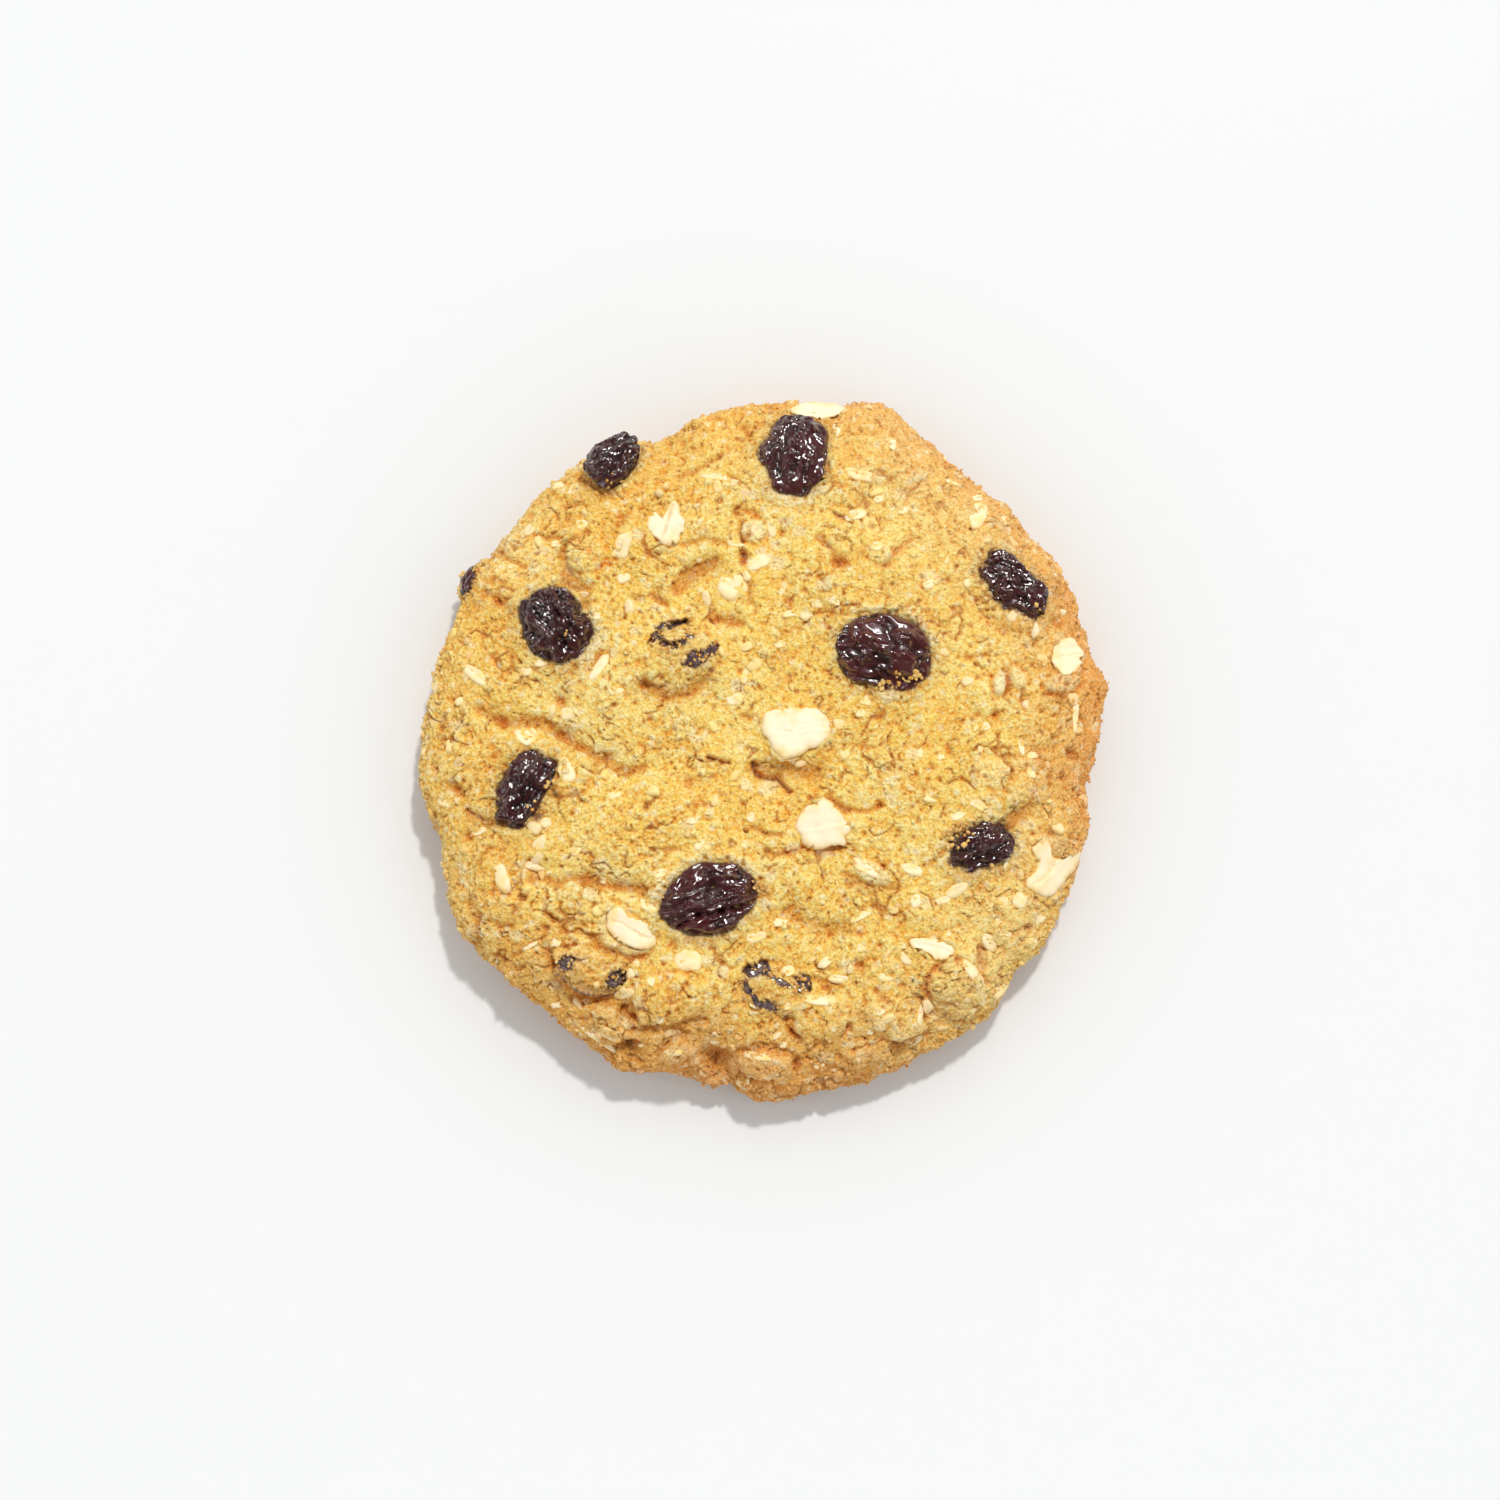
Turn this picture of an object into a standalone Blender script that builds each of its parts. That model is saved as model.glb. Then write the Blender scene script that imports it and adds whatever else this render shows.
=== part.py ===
"""Oatmeal raisin cookie: one baked dough body, twelve raisins, eight large rolled-oat flakes.

Model frame: +Z up, the underside of the cookie lies in the plane z = 0.
All the tables below are in millimetres and degrees; meshes are written in metres.
"""
import math

import bmesh
import bpy
import numpy as np
from mathutils import Matrix, Vector
from mathutils.bvhtree import BVHTree

for old in list(bpy.data.objects):
    bpy.data.objects.remove(old, do_unlink=True)

MM = 0.001

# ---------------------------------------------------------------- driving sizes (mm)
MEAN_RADIUS = 42.3        # mean radius of the outline
CROWN_HEIGHT = 14.4       # height of the middle of the cookie above the table
WAIST_HEIGHT = 5.8        # height at which the cookie is widest
CROWN_POWER = 5.6         # how flat the crown is: larger is flatter, with a tighter shoulder
BASE_INSET = 2.3          # how far the flat underside stays inside the widest line
GAP = 0.3                 # clearance between neighbouring pieces

TOP_RINGS = 22            # rings of the crown mesh, ring k has 6 k points
SKIRT_RINGS = 3           # rings between the widest line and the underside

# ---------------------------------------------------------------- outline
# Lobes and notches of the rim: direction (deg, counter-clockwise from +X), half width (deg), height (mm)
RIM_LOBES = (
    (354.0, 7.0, -1.7),   # flat stretch on the right
    (10.5, 3.6, 1.3),     # small ear on the right
    (30.0, 9.0, 1.1),     # right shoulder
    (44.5, 3.5, 0.8),
    (54.0, 6.0, 0.5),
    (62.0, 4.5, 0.8),
    (71.0, 7.5, 3.2),     # blunt corner at the upper right
    (85.0, 3.5, 0.8),
    (92.0, 9.0, 1.1),     # top
    (107.5, 4.5, -1.5),   # dip beside the proud raisin
    (124.0, 8.0, 0.5),
    (139.5, 5.0, -0.5),
    (149.5, 3.2, 1.1),    # ledge over the hidden raisin
    (157.0, 4.0, -0.5),
    (184.0, 5.0, 0.7),
    (195.0, 4.0, -0.7),
    (211.0, 7.0, 1.6),    # lower left
    (223.0, 3.5, 0.6),
    (231.0, 4.5, -0.5),
    (244.5, 5.0, 1.2),
    (256.5, 4.5, -0.6),   # recess beside the step
    (264.3, 1.8, -1.1),
    (272.0, 6.0, 1.5),    # step that stands out at the bottom
    (290.0, 9.0, 0.8),
    (308.0, 7.0, 1.0),
    (319.5, 2.8, -0.6),   # notch at the lower right
    (338.0, 8.0, -0.7),
)

# The rim isn't as steep all round: direction, half width (deg), change of the waist height (mm), change of the power
RIM_SLOPES = (
    (272.0, 38.0, -2.6, -2.0),    # low sloping edge at the bottom
    (200.0, 40.0, 0.6, 0.6),      # thick upright edge at the left
    (40.0, 30.0, -0.5, -0.4),
)

# ---------------------------------------------------------------- relief of the crown
# Swellings: x, y, semi-axis along, semi-axis across, yaw (deg), height (mm)
SWELLINGS = (
    (-10.4, 11.0, 5.0, 4.6, 0.0, 1.7),      # dome baked over a buried raisin
    (-22.6, -27.6, 4.6, 3.0, -18.0, 1.8),   # lump over the lower-left buried raisin
    (1.2, -30.4, 2.6, 2.0, -20.0, 0.8),     # patch over the lower buried raisin
    (6.8, -33.6, 3.6, 3.1, 0.0, 0.9),       # dough-covered flake near the lower rim
    (16.4, -34.2, 3.4, 2.8, -15.0, 0.8),    # its neighbour
    (23.4, -28.6, 4.0, 4.2, 25.0, 1.3),     # smooth lump at the lower right
    (-11.0, -30.6, 6.5, 3.8, 10.0, 1.1),    # plate at the lower left
    (-18.6, -35.0, 4.0, 2.4, -30.0, 0.7),
    (-6.8, -18.4, 9.0, 7.4, 17.0, 0.5),     # swell round the largest raisin
    (14.9, 11.8, 8.5, 7.4, -15.0, 0.5),     # swell round the round raisin
    (-26.0, 15.2, 7.0, 6.4, -30.0, 0.4),
    (4.0, 2.0, 6.2, 4.0, -8.0, 0.6),        # swell under the largest flake
    (8.0, -8.6, 5.0, 4.0, 0.0, 0.5),
    (24.0, -4.5, 10.0, 5.5, 8.0, 0.8),      # broad swell on the right
    (-17.0, -8.5, 9.0, 5.5, -12.0, 0.7),    # broad swell on the left
    (-16.0, 6.5, 9.0, 3.6, -20.0, 0.3),
    (-17.5, 29.5, 7.0, 5.0, 15.0, 0.4),
    (13.0, 24.0, 7.0, 4.5, -15.0, 0.5),
    (-32.0, -14.0, 5.0, 4.0, 40.0, 0.4),
    (14.5, 38.0, 5.5, 3.0, -30.0, 0.3),
)

# Hollows and creases: x0, y0, x1, y1, half width (mm), depth (mm)
HOLLOWS = (
    (-32.5, 3.8, -24.5, 1.6, 1.6, 0.8),     # long crease, left
    (-24.5, 1.6, -17.5, -2.4, 1.6, 0.8),
    (-28.5, -14.8, -15.5, -17.4, 1.5, 0.8), # crease running into the largest raisin
    (0.0, -3.2, 6.0, -3.2, 1.7, 0.7),       # below the largest flake
    (-9.8, 21.6, -7.2, 22.6, 1.5, 0.8),     # small groove
    (-14.5, 7.6, -7.4, 8.0, 1.3, 0.6),      # foot of the dome
    (-25.0, -30.2, -18.5, -31.2, 1.4, 1.1), # foot of the lower-left lump
    (-17.0, -33.0, -15.6, -38.0, 1.5, 1.3), # deep crevice at the lower-left rim
    (-7.0, -38.0, -4.6, -41.0, 1.6, 1.2),   # recess beside the step
    (19.0, -31.6, 23.6, -33.4, 1.5, 0.7),   # foot of the lower-right lump
    (3.4, -20.4, 9.6, -23.8, 2.0, 0.6),
    (30.0, -9.2, 33.0, -7.6, 1.3, 0.8),     # crease out of the right raisin
    (-26.2, 26.0, -24.0, 21.6, 1.3, 0.6),   # step at the upper left
)

# ---------------------------------------------------------------- raisins
# name, x, y, length, width, thickness, yaw, pitch (long axis up), roll, lift of the centre above the
# local crown, folds round the girth, taper towards the far end, seed
RAISINS = (
    ("raisin_01", -18.9, 36.0, 9.4, 6.2, 5.4, 36.0, 0.0, -14.0, 0.9, 5, 0.10, 11),
    ("raisin_02", 3.5, 36.9, 11.2, 8.4, 5.8, 92.0, -16.0, 0.0, -1.1, 7, 0.06, 12),
    ("raisin_03", -25.9, 15.2, 10.2, 8.8, 5.8, -38.0, 0.0, 0.0, -1.2, 7, 0.04, 13),
    ("raisin_04", 14.8, 11.9, 12.0, 9.6, 6.6, -14.0, 0.0, 0.0, -1.4, 6, 0.05, 14),
    ("raisin_05", 30.9, 20.1, 10.6, 6.6, 5.2, -46.0, -4.0, 12.0, -0.9, 7, 0.14, 15),
    ("raisin_06", -29.7, -5.0, 10.6, 6.6, 5.2, 63.0, 0.0, -8.0, -0.9, 7, 0.10, 16),
    ("raisin_07", 26.7, -12.1, 9.4, 6.0, 5.0, 20.0, 0.0, 0.0, -1.0, 6, 0.08, 17),
    ("raisin_08", -6.8, -18.5, 13.6, 9.6, 6.8, 17.0, 0.0, 0.0, -1.3, 5, 0.06, 18),
    ("raisin_09", -10.0, 12.2, 9.6, 7.6, 5.0, -28.0, 0.0, 0.0, -2.2, 5, 0.05, 19),
    ("raisin_10", -35.5, 20.1, 7.2, 5.8, 4.6, 60.0, 0.0, 0.0, -3.0, 5, 0.05, 20),
    ("raisin_11", -21.5, -27.4, 9.6, 6.0, 4.6, -17.0, 0.0, 0.0, -2.05, 5, 0.05, 21),
    ("raisin_12", 1.2, -29.7, 9.2, 7.4, 4.6, -12.0, 0.0, 0.0, -1.95, 5, 0.05, 22),
)
RAISIN_SEGMENTS = 14
RAISIN_RINGS = 8

# ---------------------------------------------------------------- large rolled-oat flakes
# name, x, y, semi-length, semi-width, yaw, thickness, squareness of the outline, depth of the end notch, seed
FLAKES = (
    ("oat_flake_01", 4.0, 2.0, 4.2, 2.9, -8.0, 0.9, 2.5, 0.00, 31),
    ("oat_flake_02", 7.5, -9.5, 3.4, 2.8, 0.0, 0.9, 2.2, 0.12, 32),
    ("oat_flake_03", -11.0, 28.0, 2.9, 2.1, 70.0, 0.8, 2.1, 0.30, 33),
    ("oat_flake_04", -16.5, -22.2, 3.1, 2.2, -12.0, 0.9, 2.2, 0.10, 34),
    ("oat_flake_05", 38.0, 11.4, 2.5, 1.8, 80.0, 0.8, 2.2, 0.10, 35),
    ("oat_flake_06", 21.0, -24.8, 2.9, 1.4, -16.0, 0.8, 2.3, 0.00, 36),
    ("oat_flake_07", 36.2, -14.6, 3.3, 2.4, 52.0, 0.8, 2.3, 0.16, 37),
    ("oat_flake_08", 7.0, 42.3, 3.4, 1.3, -4.0, 0.8, 2.2, 0.00, 38),
)
FLAKE_POINTS = 20


# ---------------------------------------------------------------- form of the dough
def outline(theta):
    """Radius of the rim in direction theta (radians)."""
    deg = np.degrees(theta)
    r = np.full_like(deg, MEAN_RADIUS)
    for at, half, height in RIM_LOBES:
        d = (deg - at + 180.0) % 360.0 - 180.0
        r = r + height * np.exp(-(d / half) ** 2)
    return r


def crown(q, theta):
    """Height of the plain crown at the fraction q of the rim radius, in direction theta."""
    q = np.clip(q, 0.0, 1.0)
    deg = np.degrees(theta)
    waist, power = WAIST_HEIGHT + 0.0 * deg, CROWN_POWER + 0.0 * deg
    for at, half, lower, flatter in RIM_SLOPES:
        w = np.exp(-(((deg - at + 180.0) % 360.0 - 180.0) / half) ** 2)
        waist, power = waist + lower * w, power + flatter * w
    # near the middle every direction has the same height
    return waist * q ** 4 + WAIST_HEIGHT * (1.0 - q ** 4) \
        + (CROWN_HEIGHT - waist * q ** 4 - WAIST_HEIGHT * (1.0 - q ** 4)) * np.sqrt(1.0 - q ** power)


def relief(x, y):
    """Uneven height added to the crown."""
    z = 0.16 * np.sin(0.31 * x + 0.8) * np.sin(0.27 * y - 0.4) \
        + 0.12 * np.sin(0.55 * x - 0.34 * y + 1.9) + 0.10 * np.sin(0.47 * y + 0.62 * x - 0.7)
    for cx, cy, a, b, yaw, height in SWELLINGS:
        t = math.radians(yaw)
        u = ((x - cx) * math.cos(t) + (y - cy) * math.sin(t)) / a
        v = (-(x - cx) * math.sin(t) + (y - cy) * math.cos(t)) / b
        z = z + height * np.exp(-(u * u + v * v) ** 1.4)
    for x0, y0, x1, y1, half, depth in HOLLOWS:
        dx, dy = x1 - x0, y1 - y0
        k = np.clip(((x - x0) * dx + (y - y0) * dy) / (dx * dx + dy * dy), 0.0, 1.0)
        d = np.hypot(x - x0 - k * dx, y - y0 - k * dy)
        z = z - depth * np.exp(-(d / half) ** 2)
    return z


def dough_height(x, y):
    """Height of the dough's upper surface above (x, y)."""
    theta = np.arctan2(y, x)
    q = np.hypot(x, y) / outline(theta)
    fade = np.clip((1.0 - q) / 0.16, 0.0, 1.0)
    return crown(q, theta) + relief(x, y) * (0.25 + 0.75 * fade)


def even_fractions(count):
    """Fractions of the rim radius that lie at even steps along the crown's profile."""
    q = 1.0 - (1.0 - np.linspace(0.0, 1.0, 4000)) ** 2.0
    r, z = q * MEAN_RADIUS, crown(q, 0.0 * q)
    s = np.concatenate(([0.0], np.cumsum(np.hypot(np.diff(r), np.diff(z)))))
    return np.interp(np.linspace(0.0, s[-1], count + 1), s, q)


def new_object(name, mesh, material=None):
    obj = bpy.data.objects.new(name, mesh)
    bpy.context.scene.collection.objects.link(obj)
    if material is not None:
        mesh.materials.append(material)
    return obj


def make_mesh(name, verts_mm, faces):
    mesh = bpy.data.meshes.new(name)
    mesh.from_pydata([(x * MM, y * MM, z * MM) for x, y, z in verts_mm], [], faces)
    mesh.validate()
    mesh.shade_smooth()
    return mesh


def dough_mesh():
    verts, faces = [(0.0, 0.0, float(dough_height(np.zeros(1), np.zeros(1))[0]))], []
    fractions = even_fractions(TOP_RINGS)
    start = [0]
    for k in range(1, TOP_RINGS + 1):
        start.append(len(verts))
        theta = np.arange(6 * k) * (2.0 * math.pi / (6 * k))
        r = outline(theta) * fractions[k]
        x, y = r * np.cos(theta), r * np.sin(theta)
        z = dough_height(x, y)
        verts.extend(zip(x.tolist(), y.tolist(), z.tolist()))
    for k in range(1, TOP_RINGS + 1):
        outer, inner = 6 * k, max(6 * (k - 1), 1)
        for s in range(6):
            for j in range(k):
                a = start[k] + (s * k + j) % outer
                b = start[k] + (s * k + j + 1) % outer
                c = start[k - 1] + (s * (k - 1) + j) % inner
                faces.append((c, a, b))
                if j < k - 1:
                    d = start[k - 1] + (s * (k - 1) + j + 1) % inner
                    faces.append((c, b, d))
    # the side below the widest line rolls in to the flat underside
    count = 6 * TOP_RINGS
    theta = np.arange(count) * (2.0 * math.pi / count)
    rim = outline(theta)
    above = start[TOP_RINGS]
    waist = np.array([verts[above + i][2] for i in range(count)])
    for m in range(1, SKIRT_RINGS + 1):
        t = 0.5 * math.pi * m / SKIRT_RINGS
        inset = BASE_INSET * (1.0 - math.cos(t)) + 0.25 * math.sin(t) * np.sin(9 * theta + m)
        z = waist * (1.0 - math.sin(t))
        if m == SKIRT_RINGS:
            z = np.zeros(count)
        r = rim - np.clip(inset, 0.0, None)
        here = len(verts)
        verts.extend(zip((r * np.cos(theta)).tolist(), (r * np.sin(theta)).tolist(), z.tolist()))
        for i in range(count):
            j = (i + 1) % count
            faces.append((above + i, here + i, here + j, above + j))
        above = here
    faces.append(tuple(above + i for i in reversed(range(count))))
    return make_mesh("dough", verts, faces)


# ---------------------------------------------------------------- raisins
def raisin_mesh(name, length, width, thick, folds, taper, seed, grow=0.0):
    """A shrivelled oval berry: a sphere drawn out along local X, with folds round its girth."""
    rng = np.random.default_rng(seed)
    phase = rng.uniform(0.0, 2.0 * math.pi, 6)
    bm = bmesh.new()
    bmesh.ops.create_uvsphere(bm, u_segments=RAISIN_SEGMENTS, v_segments=RAISIN_RINGS, radius=1.0)
    for v in bm.verts:
        c, s = v.co.z, math.hypot(v.co.x, v.co.y)
        lat, lon = math.atan2(s, c), math.atan2(v.co.y, v.co.x)
        fold = 0.055 * s * math.sin(folds * lon + phase[0] + 1.3 * math.sin(lat * 2.0 + phase[1]))
        bulge = 0.05 * math.sin(2.0 * lat + phase[2]) + 0.045 * s * math.sin(2.0 * lon + phase[3] + lat)
        fat = (1.0 + fold + bulge) * (1.0 + taper * c)
        p = Vector((0.5 * length * math.copysign(abs(c) ** 0.88, c) * (1.0 + 0.5 * bulge),
                    0.5 * width * s ** 0.9 * math.cos(lon) * fat,
                    0.5 * thick * s ** 0.9 * math.sin(lon) * fat))
        if grow:
            # the pocket in the dough is the same form, grown outward
            p += Vector((p.x / length ** 2, p.y / width ** 2, p.z / thick ** 2)).normalized() * grow
        v.co = p * MM
    mesh = bpy.data.meshes.new(name)
    bm.to_mesh(mesh)
    bm.free()
    mesh.shade_smooth()
    return mesh


def placement(x, y, z, yaw, pitch, roll):
    turn = Matrix.Rotation(math.radians(yaw), 4, 'Z') @ Matrix.Rotation(math.radians(-pitch), 4, 'Y') \
        @ Matrix.Rotation(math.radians(roll), 4, 'X')
    return Matrix.Translation((x * MM, y * MM, z * MM)) @ turn


# ---------------------------------------------------------------- flakes
def flake_outline(count, a, b, square, notch, seed, scale=1.0):
    """Outline of a rolled-oat flake in its own plane: a rough rounded oblong, split at one end."""
    rng = np.random.default_rng(seed)
    ph = rng.uniform(0.0, 2.0 * math.pi, 3)
    pts = []
    for i in range(count):
        t = 2.0 * math.pi * i / count
        c, s = math.cos(t), math.sin(t)
        k = (abs(c) ** square + abs(s) ** square) ** (-1.0 / square)
        k *= 1.0 + 0.05 * math.sin(3 * t + ph[0]) + 0.04 * math.sin(5 * t + ph[1])
        k *= 1.0 - notch * math.exp(-((t - 0.18) / 0.30) ** 2)
        pts.append((a * k * c * scale, b * k * s * scale))
    return pts


def flake_mesh(name, tree, x, y, a, b, yaw, thick, square, notch, seed):
    """A thin flake that follows the dough below it, GAP above its surface."""
    eps = 0.6
    hx = float(dough_height(np.array([x + eps]), np.array([y]))[0] - dough_height(np.array([x - eps]), np.array([y]))[0])
    hy = float(dough_height(np.array([x]), np.array([y + eps]))[0] - dough_height(np.array([x]), np.array([y - eps]))[0])
    normal = Vector((-hx / (2 * eps), -hy / (2 * eps), 1.0)).normalized()
    t = math.radians(yaw)
    along = Vector((math.cos(t), math.sin(t), 0.0))
    along = (along - normal * along.dot(normal)).normalized()
    across = normal.cross(along)
    centre = Vector((x, y, float(dough_height(np.array([x]), np.array([y]))[0])))
    rings = [[(0.0, 0.0)], flake_outline(FLAKE_POINTS // 2, a, b, square, notch * 0.5, seed, 0.52),
             flake_outline(FLAKE_POINTS, a, b, square, notch, seed)]
    body, edge = [], []
    for k, ring in enumerate(rings):
        for u, v in ring:
            p = centre + along * u + across * v
            hit = tree.ray_cast((p + normal * 6.0) * MM, -normal, 0.02)
            floor = hit[0] / MM if hit[0] is not None else p
            low = floor + normal * (GAP + 0.12)
            body.append(low)
            crease = 0.12 * math.exp(-(v / 0.5) ** 2) if k < 2 else 0.0
            edge.append(low + normal * ((thick, thick * 0.96, thick * 0.6)[k] - crease))
    n1, n2 = FLAKE_POINTS // 2, FLAKE_POINTS
    total = 1 + n1 + n2
    faces = []
    for j in range(n1):
        i0, i1 = 1 + j, 1 + (j + 1) % n1
        o0, o1, o2 = 1 + n1 + 2 * j, 1 + n1 + 2 * j + 1, 1 + n1 + (2 * j + 2) % n2
        for tri in ((0, i0, i1), (i0, o0, o1), (i0, o1, i1), (i1, o1, o2)):
            faces.append(tuple(total + q for q in tri))
            faces.append(tuple(reversed(tri)))
    for j in range(n2):
        p, q = 1 + n1 + j, 1 + n1 + (j + 1) % n2
        faces.append((p, q, total + q, total + p))
    return make_mesh(name, [tuple(v) for v in body] + [tuple(v) for v in edge], faces)


# ---------------------------------------------------------------- materials
def material(name, colour, roughness, coat=0.0, subsurface=0.0):
    mat = bpy.data.materials.new(name)
    mat.use_nodes = True
    shader = mat.node_tree.nodes["Principled BSDF"]
    shader.inputs["Base Color"].default_value = (*colour, 1.0)
    shader.inputs["Roughness"].default_value = roughness
    shader.inputs["Metallic"].default_value = 0.0
    shader.inputs["Coat Weight"].default_value = coat
    shader.inputs["Subsurface Weight"].default_value = subsurface
    mat.diffuse_color = (*colour, 1.0)
    return mat


DOUGH = material("baked_dough", (0.66, 0.40, 0.13), 0.85)


def main():
    root = bpy.data.objects.new("cookie", None)
    bpy.context.scene.collection.objects.link(root)

    mesh = dough_mesh()
    dough = new_object("dough", mesh, DOUGH)
    tree = BVHTree.FromPolygons([v.co.copy() for v in mesh.vertices], [tuple(p.vertices) for p in mesh.polygons])

    parts = [dough]
    for name, x, y, length, width, thick, yaw, pitch, roll, lift, folds, taper, seed in RAISINS:
        z = float(dough_height(np.array([x]), np.array([y]))[0]) + lift
        place = placement(x, y, z, yaw, pitch, roll)
        tone = 0.02 * (seed % 4)
        mat = material("skin_" + name, (0.062 + 0.25 * tone, 0.020, 0.016), 0.32, coat=0.3)
        form = (length, width, thick, folds, taper, seed)
        berry = new_object(name, raisin_mesh(name, *form), mat)
        berry.matrix_world = place
        berry.parent = root
        parts.append(berry)
        cutter = new_object("pocket_" + name, raisin_mesh("pocket_" + name, *form, grow=GAP + 0.06))
        cutter.matrix_world = place
        cutter.parent = root
        cutter.hide_render = True
        cutter.display_type = 'WIRE'
        cut = dough.modifiers.new("pocket_" + name, 'BOOLEAN')
        cut.operation = 'DIFFERENCE'
        cut.object = cutter
    dough.parent = root

    for name, x, y, a, b, yaw, thick, square, notch, seed in FLAKES:
        mat = material("oat_" + name, (0.93, 0.82, 0.58 + 0.01 * (seed % 3)), 0.7)
        flake = new_object(name, flake_mesh(name, tree, x, y, a, b, yaw, thick, square, notch, seed), mat)
        flake.parent = root
        parts.append(flake)

    # the origin is the middle of the whole cookie's box, on the table
    bpy.context.view_layer.update()
    corners = np.array([obj.matrix_world @ v.co for obj in parts for v in obj.data.vertices])
    middle = 0.5 * (corners.min(axis=0) + corners.max(axis=0))
    root.location = (-middle[0], -middle[1], 0.0)
    print("shift_mm", round(-middle[0] / MM, 4), round(-middle[1] / MM, 4))


main()
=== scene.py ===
"""Looks of the oatmeal raisin cookie: crumbly baked dough, wrinkled raisins, rolled oats and loose crumbs."""

import math
import time

import bmesh
import bpy
import numpy as np
from mathutils import Matrix, Vector
from mathutils.bvhtree import BVHTree


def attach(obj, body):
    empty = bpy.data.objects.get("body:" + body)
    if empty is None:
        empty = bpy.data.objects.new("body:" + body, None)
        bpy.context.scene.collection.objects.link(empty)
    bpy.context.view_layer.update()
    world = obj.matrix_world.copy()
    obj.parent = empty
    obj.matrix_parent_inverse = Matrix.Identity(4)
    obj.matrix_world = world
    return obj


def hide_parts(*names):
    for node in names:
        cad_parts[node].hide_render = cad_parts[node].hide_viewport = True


T0 = time.time()
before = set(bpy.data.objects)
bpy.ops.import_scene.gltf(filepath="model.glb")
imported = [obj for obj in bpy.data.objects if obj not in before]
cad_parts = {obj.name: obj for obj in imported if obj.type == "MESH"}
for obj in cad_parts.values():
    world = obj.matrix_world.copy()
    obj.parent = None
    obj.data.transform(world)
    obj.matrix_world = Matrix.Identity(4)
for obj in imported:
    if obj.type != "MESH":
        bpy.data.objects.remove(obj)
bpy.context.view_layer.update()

MM = 0.001
SHIFT = np.array([0.0523, -0.1291, 0.0])      # from the design's own axes to the middle of the row's box, mm

# ================================================================= the same driving form as the solid
MEAN_RADIUS, CROWN_HEIGHT, WAIST_HEIGHT, CROWN_POWER, BASE_INSET = 42.3, 14.4, 5.8, 5.6, 2.3

RIM_LOBES = (
    (354.0, 7.0, -1.7), (10.5, 3.6, 1.3), (30.0, 9.0, 1.1), (44.5, 3.5, 0.8), (54.0, 6.0, 0.5), (62.0, 4.5, 0.8),
    (71.0, 7.5, 3.2), (85.0, 3.5, 0.8), (92.0, 9.0, 1.1), (107.5, 4.5, -1.5), (124.0, 8.0, 0.5), (139.5, 5.0, -0.5),
    (149.5, 3.2, 1.1), (157.0, 4.0, -0.5), (184.0, 5.0, 0.7), (195.0, 4.0, -0.7), (211.0, 7.0, 1.6), (223.0, 3.5, 0.6),
    (231.0, 4.5, -0.5), (244.5, 5.0, 1.2), (256.5, 4.5, -0.6), (264.3, 1.8, -1.1), (272.0, 6.0, 1.5), (290.0, 9.0, 0.8),
    (308.0, 7.0, 1.0), (319.5, 2.8, -0.6), (338.0, 8.0, -0.7),
)
RIM_SLOPES = ((272.0, 38.0, -2.6, -2.0), (200.0, 40.0, 0.6, 0.6), (40.0, 30.0, -0.5, -0.4))
SWELLINGS = (
    (-10.4, 11.0, 5.0, 4.6, 0.0, 1.7), (-22.6, -27.6, 4.6, 3.0, -18.0, 1.8), (1.2, -30.4, 2.6, 2.0, -20.0, 0.8),
    (6.8, -33.6, 3.6, 3.1, 0.0, 0.9), (16.4, -34.2, 3.4, 2.8, -15.0, 0.8), (23.4, -28.6, 4.0, 4.2, 25.0, 1.3),
    (-11.0, -30.6, 6.5, 3.8, 10.0, 1.1), (-18.6, -35.0, 4.0, 2.4, -30.0, 0.7), (-6.8, -18.4, 9.0, 7.4, 17.0, 0.5),
    (14.9, 11.8, 8.5, 7.4, -15.0, 0.5), (-26.0, 15.2, 7.0, 6.4, -30.0, 0.4), (4.0, 2.0, 6.2, 4.0, -8.0, 0.6),
    (8.0, -8.6, 5.0, 4.0, 0.0, 0.5), (24.0, -4.5, 10.0, 5.5, 8.0, 0.8), (-17.0, -8.5, 9.0, 5.5, -12.0, 0.7),
    (-16.0, 6.5, 9.0, 3.6, -20.0, 0.3), (-17.5, 29.5, 7.0, 5.0, 15.0, 0.4), (13.0, 24.0, 7.0, 4.5, -15.0, 0.5),
    (-32.0, -14.0, 5.0, 4.0, 40.0, 0.4), (14.5, 38.0, 5.5, 3.0, -30.0, 0.3),
)
HOLLOWS = (
    (-32.5, 3.8, -24.5, 1.6, 1.6, 0.8), (-24.5, 1.6, -17.5, -2.4, 1.6, 0.8), (-28.5, -14.8, -15.5, -17.4, 1.5, 0.8),
    (0.0, -3.2, 6.0, -3.2, 1.7, 0.7), (-9.8, 21.6, -7.2, 22.6, 1.5, 0.8), (-14.5, 7.6, -7.4, 8.0, 1.3, 0.6),
    (-25.0, -30.2, -18.5, -31.2, 1.4, 1.1), (-17.0, -33.0, -15.6, -38.0, 1.5, 1.3), (-7.0, -38.0, -4.6, -41.0, 1.6, 1.2),
    (19.0, -31.6, 23.6, -33.4, 1.5, 0.7), (3.4, -20.4, 9.6, -23.8, 2.0, 0.6), (30.0, -9.2, 33.0, -7.6, 1.3, 0.8),
    (-26.2, 26.0, -24.0, 21.6, 1.3, 0.6),
)
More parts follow.
